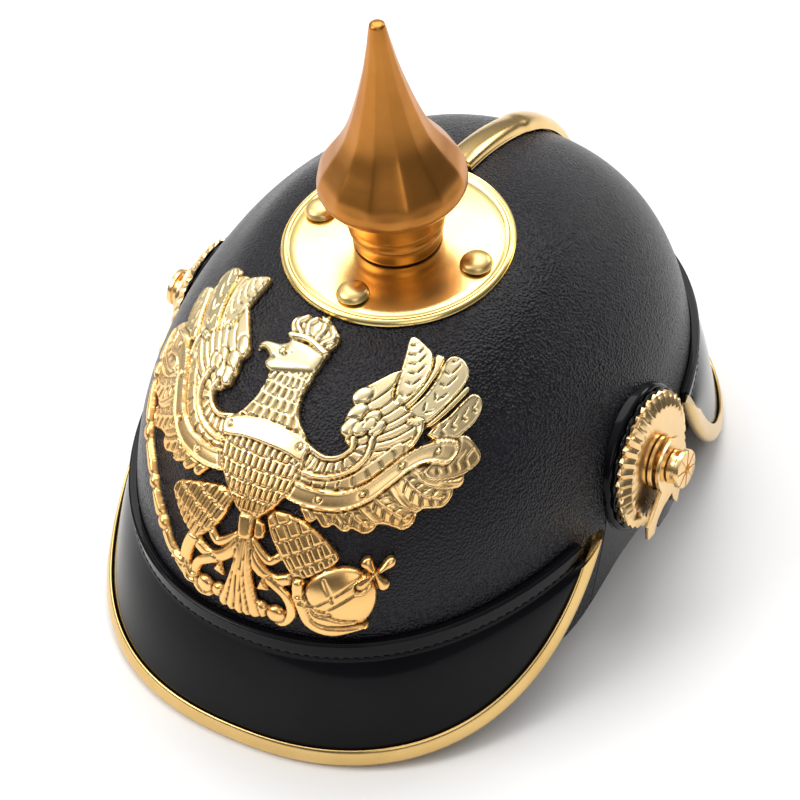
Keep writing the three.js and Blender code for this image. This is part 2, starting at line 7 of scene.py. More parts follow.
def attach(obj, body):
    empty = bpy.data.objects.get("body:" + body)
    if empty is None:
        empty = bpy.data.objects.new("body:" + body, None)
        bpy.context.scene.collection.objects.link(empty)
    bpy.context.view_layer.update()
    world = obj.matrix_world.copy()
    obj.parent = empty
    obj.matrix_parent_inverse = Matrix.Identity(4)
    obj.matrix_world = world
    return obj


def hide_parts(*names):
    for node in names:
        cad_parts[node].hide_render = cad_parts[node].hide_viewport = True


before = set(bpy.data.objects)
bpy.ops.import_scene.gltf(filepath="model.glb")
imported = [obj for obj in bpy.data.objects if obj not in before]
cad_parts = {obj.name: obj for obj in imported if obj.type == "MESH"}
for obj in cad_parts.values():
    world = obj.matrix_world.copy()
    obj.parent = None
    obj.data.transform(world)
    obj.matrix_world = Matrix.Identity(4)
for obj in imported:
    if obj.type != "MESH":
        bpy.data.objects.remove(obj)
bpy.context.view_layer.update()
scene = bpy.context.scene

# Lengths are millimetres with the spike upright.
# onStand leans them onto the two visors and turns them to metres.
stance = {"lean": 4.36, "centreY": -12.98, "raise": 130.77}
leanTurn = np.array(Matrix.Rotation(math.radians(stance["lean"]), 3, "X"))
gap = 0.3  # kept between neighbouring pieces


def onStand(points):
    return (np.asarray(points, float) @ leanTurn.T + (0, stance["centreY"], stance["raise"])) / 1000


def blendStep(value, low, high):
    t = np.clip((value - low) / (high - low), 0, 1)
    return t * t * (3 - 2 * t)


def unit(vectors):
    return vectors / np.maximum(np.linalg.norm(vectors, axis=-1, keepdims=True), 1e-12)


def curved(points, steps):
    # a smooth line through every point of a short table
    p = np.asarray(points, float)
    p = np.vstack([2 * p[0] - p[1], p, 2 * p[-1] - p[-2]])
    t = np.linspace(0, 1, steps, endpoint=False)[:, None]
    runs = [
        0.5 * (2 * b + (c - a) * t + (2 * a - 5 * b + 4 * c - d) * t ** 2 + (3 * b - a - 3 * c + d) * t ** 3)
        for a, b, c, d in zip(p, p[1:], p[2:], p[3:])
    ]
    return np.vstack(runs + [p[-2:-1]])


# Skull surface: angle 0 is the front and grows to the wearer's left, drop 0 is the crown.
skull = {
    "halfWidth": 89.05, "frontLength": 123.3, "backLength": 113.6, "centreY": 6.3,
    "crownZ": -1.1, "height": 104.0, "sideFullness": 2.71, "topFullness": 2.78, "planFullness": 2.19,
    "crownLift": 2.1, "liftFrom": 38, "liftTo": 82, "roundRadius": 111, "wall": 2.4,
    "edgeZ": -103.6, "dipDepth": 14, "dipFrom": -8, "dipTo": -48,
}
seamZ = -77.5
skullCentre = onStand((0, skull["centreY"], -60))


def skullPoint(angle, drop):
    angle, drop = np.broadcast_arrays(np.asarray(angle, float), np.asarray(drop, float))
    side, ahead, full = np.sin(angle), np.cos(angle), skull["planFullness"]
    plan = (np.abs(side) ** full + np.abs(ahead) ** full) ** (-1 / full)
    bent = np.clip(drop, 0, math.pi / 2)
    reach = np.sin(bent) ** (2 / skull["sideFullness"])
    fall = 1 - np.maximum(np.cos(bent), 0) ** (2 / skull["topFullness"])
    along = np.where(ahead > 0, skull["frontLength"], skull["backLength"])
    share = blendStep(reach, 0.3, 0.72)  # round at the crown, oval lower down
    across = ((1 - share) * skull["roundRadius"] + share * skull["halfWidth"] * plan) * side * reach
    length = -((1 - share) * skull["roundRadius"] + share * along * plan) * ahead * reach
    spread = np.hypot(across, length + skull["centreY"])
    lift = skull["crownLift"] * (1 - blendStep(spread, skull["liftFrom"], skull["liftTo"]))
    z = skull["crownZ"] - skull["height"] * (fall + drop - bent) + lift
    return np.stack([across, length + skull["centreY"], z], -1)


def skullOut(angle, drop, out):
    step, low = 0.004, np.maximum(drop, 0.02)
    across = skullPoint(angle + step, low) - skullPoint(angle - step, low)
    down = skullPoint(angle, low + step) - skullPoint(angle, np.maximum(low - step, 0))
    return skullPoint(angle, drop) + unit(np.cross(down, across)) * np.asarray(out, float)[..., None]


def dropWhere(angle, reached):
    # halves the range until it finds how far down the surface stops being reached
    low, high = np.zeros_like(angle), np.full_like(angle, 2.0)
    for _ in range(40):
        middle = (low + high) / 2
        above = reached(skullPoint(angle, middle))
        low, high = np.where(above, middle, low), np.where(above, high, middle)
    return (low + high) / 2


def dropAt(angle, z):
    angle, z = np.broadcast_arrays(np.asarray(angle, float), np.asarray(z, float))
    return dropWhere(angle, lambda p: p[..., 2] > z)


def onlyThis(piece):
    bpy.ops.object.select_all(action="DESELECT")
    piece.select_set(True)
    bpy.context.view_layer.objects.active = piece


def readPoints(piece):
    points = np.empty(len(piece.data.vertices) * 3)
    piece.data.vertices.foreach_get("co", points)
    return points.reshape(-1, 3)


def writePoints(piece, points):
    piece.data.vertices.foreach_set("co", np.ravel(points))
    piece.data.update()


def named(name):
    # names what the last operator added
    piece = bpy.context.active_object
    piece.name = piece.data.name = name
    return piece


def editing(piece, *steps):
    onlyThis(piece)
    bpy.ops.object.mode_set(mode="EDIT")
    bpy.ops.mesh.select_mode(type="VERT")
    bpy.ops.mesh.select_all(action="SELECT")
    for step in steps:
        step()
    bpy.ops.object.mode_set(mode="OBJECT")
    return piece


def faceOut(piece, centre):
    mesh = piece.data
    centres, normals = np.empty(len(mesh.polygons) * 3), np.empty(len(mesh.polygons) * 3)
    mesh.polygons.foreach_get("center", centres)
    mesh.polygons.foreach_get("normal", normals)
    if ((centres.reshape(-1, 3) - centre) * normals.reshape(-1, 3)).sum() < 0:
        editing(piece, bpy.ops.mesh.flip_normals)
    return piece


def modified(piece, kind, **settings):
    onlyThis(piece)
    modifier = piece.modifiers.new(kind.lower(), kind)
    for key, value in settings.items():
        setattr(modifier, key, value)
    bpy.ops.object.modifier_apply(modifier=modifier.name)
    return piece


def merged(piece, distance=1e-6):
    return editing(piece, lambda: bpy.ops.mesh.remove_doubles(threshold=distance))


def tidyNormals(piece):
    return editing(piece, lambda: bpy.ops.mesh.normals_make_consistent(inside=False))


def gridPiece(name, rows, columns):
    bpy.ops.object.select_all(action="DESELECT")
    bpy.ops.mesh.primitive_grid_add(x_subdivisions=rows, y_subdivisions=columns, size=1)
    return named(name)


def gridPlaces(piece, rows, columns):
    # the row and column of the grid that each corner stands on
    flat = readPoints(piece) + 0.5
    return np.rint(flat[:, 0] * rows).astype(int), np.rint(flat[:, 1] * columns).astype(int)


def sheetPiece(name, table):
    # a grid pulled to a table of points, rows by columns
    rows, columns = table.shape[0] - 1, table.shape[1] - 1
    piece = gridPiece(name, rows, columns)
    writePoints(piece, onStand(table[gridPlaces(piece, rows, columns)]))
    return piece


def rodPiece(name, table):
    # a section swept along a line: the sheet is closed round itself and capped at both ends
    piece = merged(sheetPiece(name, table), 1e-5)
    editing(piece, lambda: bpy.ops.mesh.fill_holes(sides=0))
    return tidyNormals(piece)


def turnedPiece(name, profile, steps):
    # one point extruded along a profile of radius and height, then spun round the upright axis
    bpy.ops.object.select_all(action="DESELECT")
    bpy.ops.mesh.primitive_plane_add(size=1)
    piece = named(name)
    bpy.ops.object.mode_set(mode="EDIT")
    bpy.ops.mesh.merge(type="CENTER")
    bpy.ops.transform.translate(value=(profile[0][0], 0, profile[0][1]))
    for (r0, h0), (r1, h1) in zip(profile, profile[1:]):
        bpy.ops.mesh.extrude_region_move(TRANSFORM_OT_translate={"value": (r1 - r0, 0, h1 - h0)})
    bpy.ops.mesh.select_all(action="SELECT")
    bpy.ops.mesh.spin(steps=steps, angle=math.tau, center=(0, 0, 0), axis=(0, 0, 1))
    bpy.ops.mesh.select_all(action="SELECT")
    bpy.ops.mesh.remove_doubles(threshold=1e-4)
    bpy.ops.mesh.normals_make_consistent(inside=False)
    bpy.ops.object.mode_set(mode="OBJECT")
    return piece


def seated(points, seat):
    return points @ np.array(seat.to_3x3()).T + np.array(seat.translation)


def settled(piece, seat=Matrix()):
    writePoints(piece, onStand(seated(readPoints(piece), seat)))
    return piece


def polar(points):
    return np.arctan2(points[:, 1], points[:, 0]), np.hypot(points[:, 0], points[:, 1])


def drawnIn(points, wide, amount):
    # moves points towards the upright axis
    points[:, :2] *= ((wide - amount) / np.maximum(wide, 1e-6))[:, None]


def copyOf(piece, name):
    twin = piece.copy()
    twin.data = piece.data.copy()
    twin.name = twin.data.name = name
    scene.collection.objects.link(twin)
    return twin


def joinedAs(name, pieces):
    onlyThis(pieces[0])
    for piece in pieces:
        piece.select_set(True)
    bpy.ops.object.join()
    return named(name)


def dressed(piece, finish, nodes=(), body="root", angle=40):
    onlyThis(piece)
    bpy.ops.object.shade_smooth_by_angle(angle=math.radians(angle))
    piece.data.materials.clear()
    piece.data.materials.append(finish)
    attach(piece, body)
    if nodes:
        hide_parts(*nodes)
    return piece


class Signal:
    def __init__(self, finish, socket):
        self.finish, self.socket = finish, socket

    def math(self, operation, first, second):
        return self.finish.node("Math", {"operation": operation}, {0: first, 1: second})

    def __add__(self, other):
        return self.math("ADD", self, other)

    def __radd__(self, other):
        return self.math("ADD", other, self)

    def __sub__(self, other):
        return self.math("SUBTRACT", self, other)

    def __rsub__(self, other):
        return self.math("SUBTRACT", other, self)

    def __mul__(self, other):
        return self.math("MULTIPLY", self, other)

    def __rmul__(self, other):
        return self.math("MULTIPLY", other, self)

    def clamped(self, low, high):
        return self.finish.node("MapRange", {"clamp": True}, {0: self, 1: low, 2: high, 3: 0.0, 4: 1.0})


class Finish:
    def __init__(self, name, **fixed):
        self.material = bpy.data.materials.new(name)
        self.material.use_nodes = True
        self.tree = self.material.node_tree
        self.shader = next(n for n in self.tree.nodes if n.type == "BSDF_PRINCIPLED")
        for socket, value in fixed.items():
            self.shader.inputs[socket.replace("_", " ")].default_value = value
        self.place = self.node("TexCoord", {}, {}, "Object")

    def feed(self, socket, value):
        if isinstance(value, Signal):
            self.tree.links.new(value.socket, socket)
        else:
            socket.default_value = value

    def node(self, kind, settings, values, take=0):
        made = self.tree.nodes.new("ShaderNode" + kind)
        for key, value in settings.items():
            setattr(made, key, value)
        for key, value in values.items():
            self.feed(made.inputs[key], value)
        return Signal(self, made.outputs[take])

    def noise(self, scale, detail):
        return self.node("TexNoise", {}, {"Vector": self.place, "Scale": scale, "Detail": detail,
                                          "Roughness": 0.55})

    def axis(self, index):
        return self.node("SeparateXYZ", {}, {0: self.place}, index)

    def tint(self, factor, low, high):
        return self.node("Mix", {"data_type": "RGBA"}, {0: factor, 6: low, 7: high}, 2)

    def bump(self, height, distance, strength):
        return self.node("Bump", {}, {"Height": height, "Distance": distance, "Strength": strength})

    def wire(self, **signals):
        for socket, signal in signals.items():
            self.feed(self.shader.inputs[socket.replace("_", " ")], signal)
        return self.material


def rgb(red, green, blue):
    return (red, green, blue, 1.0)


# The finishes read places in metres, as the pieces stand.
leatherGrain = {"cells": 1050.0, "grain": 1900.0, "patches": 34.0, "depth": 0.00055}
sidePatch = {"front": -0.0413, "slope": 0.285, "top": 0.054, "blend": 0.0005, "seamHalf": 0.0007}


def leatherFinish():
    f = Finish("pebbledLeather", Specular_IOR_Level=0.26, Coat_Weight=0.0)
    cells = f.node("TexVoronoi", {"feature": "SMOOTH_F1"},
                   {"Vector": f.place, "Scale": leatherGrain["cells"], "Smoothness": 0.35})
    grain = f.noise(leatherGrain["grain"], 3.0)
    patches = f.noise(leatherGrain["patches"], 4.0)
    # the patch under each rosette is smooth, with a seam down its front
    front, top, blend, half = (sidePatch[key] for key in ("front", "top", "blend", "seamHalf"))
    height = f.axis(2)
    reach = f.axis(1) - height * sidePatch["slope"]
    below = 1 - height.clamped(top - blend, top)
    patch = reach.clamped(front, front + blend) * below
    seam = reach.clamped(front - half, front) * (1 - reach.clamped(front, front + half)) * below
    pebbles = (cells * 0.85 + grain * 0.35) * (1 - patch * 0.95) - seam * 3
    return f.wire(
        Base_Color=f.tint(patches.clamped(0.3, 0.75), rgb(0.0035, 0.003, 0.005), rgb(0.0075, 0.006, 0.0105)),
        Roughness=patches * 0.12 + cells * 0.14 + 0.15 - patch * 0.04,
        Normal=f.bump(pebbles, leatherGrain["depth"], 1.0))


def patentFinish():
    f = Finish("patentLeather", Coat_Roughness=0.04, Coat_IOR=1.22, Specular_IOR_Level=0.05)
    ripple = f.noise(42.0, 3.0)
    pores = f.noise(900.0, 2.0)
    wear = f.noise(15.0, 5.0)
    return f.wire(
        Base_Color=f.tint(wear.clamped(0.35, 0.7), rgb(0.003, 0.003, 0.004), rgb(0.006, 0.006, 0.0075)),
        Roughness=wear * 0.12 + 0.14,
        Coat_Weight=wear * 0.3 + 0.45,
        Normal=f.bump(ripple * 0.8 + pores * 0.03, 0.0005, 0.3))


def metalFinish(name, bright, dark, rough, worn=0.5, foot=None):
    f = Finish(name, Metallic=1.0, Specular_IOR_Level=0.5)
    clouds = f.noise(46.0, 5.0)
    specks = f.noise(620.0, 3.0)
    shade = clouds.clamped(0.36, 0.7) * worn
    colour = f.tint(shade, bright, dark)
    roughness = specks * 0.05 + clouds * 0.12 + rough
    if foot:
        # painted light: paler towards the top, and warmer and darker towards the foot as painted shade
        paintedFootShade = f.tint(shade, foot["bright"], foot["dark"])
        colour = f.tint(f.axis(2).clamped(foot["from"], foot["to"]), paintedFootShade, colour)
        # darker in the hollows that the mesh carries as an attribute: painted shade in the recesses, with
        # some real grime there too
        depth = f.node("Attribute", {"attribute_name": "hollowGrimeAndShade"}, {}, "Fac")
        colour = f.tint(depth.clamped(0.0, 1.0), colour, rgb(*[part * 0.16 for part in dark[:3]]))
        roughness = roughness + depth * 0.25
    return f.wire(Base_Color=colour, Roughness=roughness, Normal=f.bump(specks + clouds * 0.4, 0.00003, 0.35))


print("finishes")
leather = leatherFinish()
patent = patentFinish()
trimBrass = metalFinish("trimBrass", rgb(0.80, 0.55, 0.22), rgb(0.62, 0.38, 0.12), rough=0.13)
plateBrass = metalFinish("plateBrass", rgb(0.95, 0.74, 0.30), rgb(0.86, 0.60, 0.20), rough=0.14, worn=0.4)
# the foot colours are painted shade: they make the eagle's lower part warmer and darker than its top
eagleGilt = metalFinish(
    "eagleGilt", rgb(0.99, 0.83, 0.49), rgb(0.93, 0.69, 0.33), rough=0.17,
    foot={"bright": rgb(0.98, 0.60, 0.23), "dark": rgb(0.86, 0.46, 0.14), "from": 0.09, "to": 0.116})
studBrass = metalFinish("studBrass", rgb(0.92, 0.66, 0.27), rgb(0.78, 0.50, 0.17), rough=0.24)
fittingGilt = metalFinish("fittingGilt", rgb(0.93, 0.68, 0.36), rgb(0.80, 0.50, 0.20), rough=0.17, worn=0.6)
spikeBronze = metalFinish("spikeBronze", rgb(0.56, 0.235, 0.05), rgb(0.42, 0.16, 0.03), rough=0.24, worn=0.8)

shellMesh = {"around": 168, "down": 84, "crowding": 0.9}


def makeShell():
    angles = np.linspace(0, math.tau, shellMesh["around"] + 1)
    edgeY = skullPoint(angles, math.pi / 2)[:, 1]
    dip = 1 - blendStep(edgeY, skull["dipTo"], skull["dipFrom"])  # the edge hangs lower under the front visor
    edgeDrop = dropAt(angles, skull["edgeZ"] - skull["dipDepth"] * dip)
    parts = np.linspace(0, 1, shellMesh["down"] + 1) ** shellMesh["crowding"]
    piece = sheetPiece("shellLeather", skullPoint(angles[:, None], edgeDrop[:, None] * parts[None, :]))
    faceOut(merged(piece), skullCentre)
    modified(piece, "SOLIDIFY", thickness=skull["wall"] / 1000, offset=-1.0)
    return dressed(piece, leather, ["shell"], angle=50)


print("shell")
makeShell()

# Each visor has a free edge, given by a station in degrees, and a seam that hugs the skull.
frontVisor = {
    "turn": 1, "reach": 92, "sheetReach": 89.5, "seamShare": 0.78, "width": 89.0, "length": 100.7,
    "startY": -31.8,
    "lowZ": -119.1, "rise": 35.4, "riseCurve": 2.46, "tipRise": 3.4, "plan": 2.3, "sideFlare": 0.3,
    "thick": 2.0,
}
rearVisor = {
    "turn": -1, "reach": 92, "sheetReach": 89.5, "seamShare": 0.80, "width": 88.6, "length": 99.0,
    "startY": 40.0,
    "lowZ": -138.0, "rise": 56, "riseCurve": 4.0, "tipRise": 2, "plan": 2.08, "sideFlare": 1.6, "thick": 2.0,
}
seamBand = {"share": 0.22, "above": 2, "tall": 8, "sweep": 8}
seamWork = {
    "beadAt": 0.03, "beadWidth": 0.014, "beadHeight": 0.8,
    "stitchAt": 0.19, "grooveWidth": 0.014, "grooveDepth": 0.3,
    "stitchPitch": 3.4, "stitchLength": 2.1, "stitchHalf": 0.36,
}
visorMesh = {"stations": 121, "seamColumns": 46, "bodyColumns": 32, "seamShare": 0.25, "easedFrom": 27}


def visorEdge(visor, degrees):
    phi = np.radians(degrees)
    side, ahead = np.sin(phi), np.cos(phi)
    plan = (np.abs(side) ** visor["plan"] + np.abs(ahead) ** visor["plan"]) ** (-1 / visor["plan"])
    back = np.clip(1 - ahead * plan, 0, 1.2)
    width = visor["width"] + visor["sideFlare"] * back ** 6
    y = visor["startY"] - visor["turn"] * visor["length"] * ahead * plan
    z = visor["lowZ"] + visor["rise"] * back ** visor["riseCurve"] + visor["tipRise"] * back ** 12
    return np.stack([width * side * plan, y, z], -1)


def visorPoint(visor, degrees, part):
    # part 0 is the top of the seam, part 1 the free edge
    degrees, part = np.broadcast_arrays(np.asarray(degrees, float), np.asarray(part, float))
    angle = (0 if visor["turn"] > 0 else math.pi) + visor["turn"] * np.radians(degrees) * visor["seamShare"]
    z = seamZ + seamBand["above"] - seamBand["tall"] * np.minimum(part / seamBand["share"], 1)
    seam = skullOut(angle, dropAt(angle, z), np.full(angle.shape, gap + visor["thick"]))
    edge = visorEdge(visor, degrees)
    t = np.clip((part - seamBand["share"]) / (1 - seamBand["share"]), 0, 1)[..., None]
    out = unit((seam - (0, skull["centreY"], 0)) * (1, 1, 0))
    return np.where(t > 0, seam + (edge - seam) * t + out * seamBand["sweep"] * t * (1 - t) ** 2, seam)


def tableNormals(table, centre):
    normal = unit(np.cross(np.gradient(table, axis=0), np.gradient(table, axis=1)))
    return normal * np.sign(((table - centre) * normal).sum(-1).mean())


def makeVisor(visor, name, nodes):
    stations = np.linspace(-visor["sheetReach"], visor["sheetReach"], visorMesh["stations"])
    across = np.concatenate([
        np.linspace(0, visorMesh["seamShare"], visorMesh["seamColumns"]),
        np.linspace(visorMesh["seamShare"], 1, visorMesh["bodyColumns"])[1:],
    ])
    table = visorPoint(visor, stations[:, None], across[None, :])
    first = visorMesh["easedFrom"]
    for _ in range(6):  # eases the fold below the seam
        table[:, first:-1] = (table[:, first - 1:-2] + 2 * table[:, first:-1] + table[:, first + 1:]) / 4
    normal = tableNormals(table, (0, skull["centreY"], skull["edgeZ"]))
    bead = seamWork["beadHeight"] * np.exp(-((across - seamWork["beadAt"]) / seamWork["beadWidth"]) ** 4)
    groove = np.exp(-((across - seamWork["stitchAt"]) / seamWork["grooveWidth"]) ** 2)
    bead -= seamWork["grooveDepth"] * groove
    bead[0] = 0
    piece = faceOut(sheetPiece(name, table + normal * bead[None, :, None]), skullCentre)
    modified(piece, "SOLIDIFY", thickness=visor["thick"] / 1000, offset=-1.0)
    dressed(piece, patent, nodes, angle=50)
    column = int(np.argmin(np.abs(across - seamWork["stitchAt"])))
    return table[:, column], normal[:, column]


def makeStitches(name, line, out):
    run = np.concatenate([[0], np.cumsum(np.linalg.norm(np.diff(line, axis=0), axis=1))])

    def along(at, rows):
        return np.array([np.interp(at, run, rows[:, i]) for i in range(3)])

    bpy.ops.object.select_all(action="DESELECT")
    bpy.ops.mesh.primitive_uv_sphere_add(segments=8, ring_count=6, radius=1)
    first = bpy.context.active_object
    shape = readPoints(first) * (seamWork["stitchLength"] / 2, seamWork["stitchHalf"], seamWork["stitchHalf"])
    copies = []
    for k, at in enumerate(np.arange(4, run[-1] - 4, seamWork["stitchPitch"])):
        middle, up = along(at, line), along(at, out)
        ahead = unit(along(at + 1, line) - middle)
        stitch = copyOf(first, f"{name}.{k}")
        writePoints(stitch, onStand(shape @ np.array([ahead, np.cross(up, ahead), up]) + middle - up * 0.1))
        copies.append(stitch)
    bpy.data.objects.remove(first)
    return dressed(joinedAs(name, copies), patent)


print("visors")
frontSeam = makeVisor(frontVisor, "frontVisor", ["front_visor"])
rearSeam = makeVisor(rearVisor, "rearVisor", ["rear_visor"])
makeStitches("frontStitches", *frontSeam)
makeStitches("rearStitches", *rearSeam)

# A folded strip round each free edge.
# The section is aside from the edge and up, and runs once round the fold.
trimSection = [
    (-4.9, 1.42), (-5.0, 1.9), (-4.7, 2.3), (-3.6, 2.5), (-2.0, 2.52), (-0.4, 2.4), (0.7, 2.0), (1.5, 1.2),
    (1.8, 0.2),
    (1.7, -0.9), (1.2, -1.7), (0.2, -2.2), (-1.2, -2.3), (-2.8, -2.3), (-3.4, -2.15), (-3.45, -1.75),
    (-2.6, -1.5),
    (-0.6, -1.45), (0.5, -0.9), (0.8, 0.0), (0.4, 0.9), (-0.8, 1.4), (-2.6, 1.44), (-4.0, 1.42),
]
trimEnds = {"slant": 5.0, "nose": 1.8, "depth": 6.8, "mouth": -3.4, "floor": -1.6, "roof": 1.4, "held": 84}
trimMesh = {"stations": 161, "innerFrom": 30, "innerTo": 46}


def trimFrame(visor, stations):
    held = np.clip(stations, -trimEnds["held"], trimEnds["held"])
    along = unit(visorEdge(visor, stations + 1) - visorEdge(visor, stations - 1))
    across = visorPoint(visor, held, 1.0) - visorPoint(visor, held, 0.88)
    across = unit(across - along * (across * along).sum(-1, keepdims=True))
    up = np.cross(along, across)
    up *= np.where(up[..., 2] - 0.3 * visor["turn"] * up[..., 1] < 0, -1, 1)[..., None]
    return visorEdge(visor, stations) - up * visor["thick"] / 2, across, up


def makeTrim(visor, name, nodes):
    section = curved(trimSection + trimSection[:1], 2)
    # the fold's mouth stops short of its nose, so the ends are cut on a slant
    limit = visor["reach"] - trimEnds["slant"] * (trimEnds["nose"] - section[:, 0]) / trimEnds["depth"]
    stations = limit[:, None] * np.linspace(-1, 1, trimMesh["stations"])[None, :]
    aside, lift = (section[:, i, None] + 0 * stations for i in (0, 1))
    # near the ends the inner side of the fold moves out to the mouth, which closes it
    start = visor["reach"] - trimEnds["slant"] - 3
    inner = np.zeros((len(section), 1))
    inner[trimMesh["innerFrom"]:trimMesh["innerTo"]] = 1
    closing = inner * blendStep(np.abs(stations), start, start + 2)
    aside += closing * (trimEnds["mouth"] - aside) * 0.9
    lift += closing * (np.clip(lift, trimEnds["floor"], trimEnds["roof"]) - lift)
    middle, across, up = trimFrame(visor, stations)
    piece = rodPiece(name, middle + aside[..., None] * across + lift[..., None] * up)
    points = readPoints(piece)
    points[:, 2] = np.maximum(points[:, 2], 0)  # the worn flat the helmet rests on
    writePoints(piece, points)
    return dressed(piece, trimBrass, nodes, angle=45)


print("trims")
makeTrim(frontVisor, "frontTrim", ["front_trim"])
makeTrim(rearVisor, "rearTrim", ["rear_trim"])

spineSection = [
    (-6.0, 0.05), (-6.0, 0.5), (-5.85, 1.3), (-5.3, 2.5), (-4.2, 3.6), (-2.7, 4.3), (-1.2, 4.62), (0, 4.7),
    (1.2, 4.62), (2.7, 4.3), (4.2, 3.6), (5.3, 2.5), (5.85, 1.3), (6.0, 0.5), (6.0, 0.05), (3.0, 0.0),
    (-3.0, 0.0),
]
spine = {
    "startY": 41.2, "endAboveSeam": 3.4, "clearance": 0.15, "steps": 80,
    "jointAt": 0.30, "jointLong": 0.05, "slim": 0.93,
}


def makeSpine():
    start = float(dropWhere(np.array([math.pi]), lambda p: p[..., 1] < spine["startY"])[0])
    end = float(dropAt(math.pi, seamZ + spine["endAboveSeam"]))
    drops, rear = np.linspace(start, end, spine["steps"]), np.full(spine["steps"], math.pi)
    outs = (np.full(spine["steps"], gap + spine["clearance"] + out) for out in (0, 1))
    base, above = (skullOut(rear, drops, out) for out in outs)
    # the upper length is a little slimmer, where the plate ends
    part = np.linspace(0, 1, spine["steps"])
    joint = blendStep(part, spine["jointAt"], spine["jointAt"] + spine["jointLong"])
    swell = (spine["slim"] + (1 - spine["slim"]) * joint)[:, None]
    aside, lift = curved(spineSection + spineSection[:1], 2).T[:, :, None, None]
    piece = rodPiece("spineRib", base + aside * swell * np.array([1, 0, 0]) + lift * swell * (above - base))
    return dressed(piece, trimBrass, ["spine"], angle=50)


print("spine")
makeSpine()

# Profiles are radius and height, from the axis at the foot to the axis at the top.
plateProfile = [
    (0, -8), (30, -8), (38.6, -8), (39.6, -7.6), (40, -7), (40, -1.6), (39.8, -0.8), (39.2, -0.1),
    (38.5, 0.25), (37.9, 0.1),
    (37.5, -0.35), (37.2, -0.4), (36.8, -0.1), (36.2, 0.2), (34, 0.42), (30, 0.8), (26, 1.1), (22, 1.35),
    (12, 1.6), (0, 1.85),
]
plateFoot = {"z": -8, "upTo": -6.5, "squash": 0.6}
stud = {"radius": 5.4, "skirt": 5.65, "shoulder": 0.75, "dome": 2.75, "circle": 30.3, "seatZ": 1.32}
neckProfile = [
    (0, 2.2), (15.2, 2.2), (15.35, 2.5), (15.2, 3.2), (15.15, 5.4), (15.3, 7.3), (15.7, 7.8), (16.2, 8.1),
    (16.3, 8.5),
    (16.1, 8.9), (15.95, 9.3), (16.0, 11.9), (16.3, 12.3), (17.0, 12.6), (17.2, 13.0), (17.1, 13.5),
    (17.05, 14.2),
    (17.3, 18.5), (18.2, 21.4), (19.8, 23.4), (20.8, 24.5), (20.6, 24.8), (0, 24.8),
]
spikeFoot = [(0, 25.1), (22.4, 25.1)]
spikeLip = [(23.4, 25.15), (24.6, 25.9), (25.3, 27.3), (25.4, 29.0)]
spikeFlank = [
    (25.4, 29.0), (25.0, 31.2), (23.6, 34.6), (20.7, 39.0), (17.1, 44.2), (13.9, 50.2), (10.4, 60),
    (6.5, 74), (4.0, 86),
]
spikeTip = [(4.0, 86), (2.9, 92.2), (2.2, 94.0), (0, 94.5)]
spikeTop = (0, 94.55)
flutes = {"count": 12, "depth": 0.028, "turn": 17.3, "rise": (26.5, 33), "fall": (84, 92)}


def makePlate():
    piece = turnedPiece("basePlate", plateProfile, 144)
    points = readPoints(piece)
    below = points[:, 2] < plateFoot["upTo"]  # the underside follows the crown
    fromCentre = points[below] - (0, skull["centreY"], 0)
    turn, wide = np.arctan2(fromCentre[:, 0], -fromCentre[:, 1]), np.hypot(fromCentre[:, 0], fromCentre[:, 1])
    drop = dropWhere(turn, lambda p: np.hypot(p[..., 0], p[..., 1] - skull["centreY"]) < wide)
    lift = (points[below, 2] - plateFoot["z"]) * plateFoot["squash"]
    points[below, 2] = skullPoint(turn, drop)[:, 2] + gap + lift
    writePoints(piece, points)
    return dressed(settled(piece), plateBrass, ["base_plate"], angle=50)


def makeStuds():
    radius, shoulder = stud["radius"], stud["shoulder"]
    skirt = [(0, 0), (radius, 0), (stud["skirt"], 0.3), (radius + 0.15, shoulder)]
    turns = np.linspace(0.1, math.pi / 2, 10)[:-1]
    dome = [(radius * math.cos(a), shoulder + stud["dome"] * math.sin(a)) for a in turns]
    profile = skirt + dome + [(0, shoulder + stud["dome"])]
    first = turnedPiece("studMould", profile, 36)
    for name, degrees in (("front", 0), ("left", 90), ("back", 180), ("right", 270)):
        a = math.radians(degrees)
        x, y = stud["circle"] * math.sin(a), -stud["circle"] * math.cos(a)
        piece = settled(copyOf(first, f"stud.{name}"), Matrix.Translation((x, y, stud["seatZ"])))
        dressed(piece, studBrass, [f"base_stud_{name}"], angle=50)
    bpy.data.objects.remove(first)


def makeNeck():
    neck = settled(turnedPiece("neckCollar", neckProfile, 128))
    return dressed(neck, spikeBronze, ["neck"], angle=60)


def makeSpike():
    flank = curved(spikeFlank, 6)
    lip = curved(spikeLip, 3)[:-1]
    tip = curved(spikeTip, 4)[1:-1]
    profile = spikeFoot + [tuple(p) for p in np.vstack([lip, flank, tip])] + [spikeTop]
    piece = turnedPiece("spikeBody", profile, 192)
    points = readPoints(piece)
    turn = np.arctan2(points[:, 1], points[:, 0]) + math.radians(flutes["turn"])
    fade = blendStep(points[:, 2], *flutes["rise"]) * (1 - blendStep(points[:, 2], *flutes["fall"]))
    ripple = np.abs(np.sin(turn * flutes["count"] / 2))
    points[:, :2] *= (1 - flutes["depth"] * fade * ripple)[:, None]
    writePoints(piece, points)
    return dressed(settled(piece), spikeBronze, ["spike"], angle=60)


print("plate, studs, neck and spike")
makePlate()
makeStuds()
makeNeck()
makeSpike()

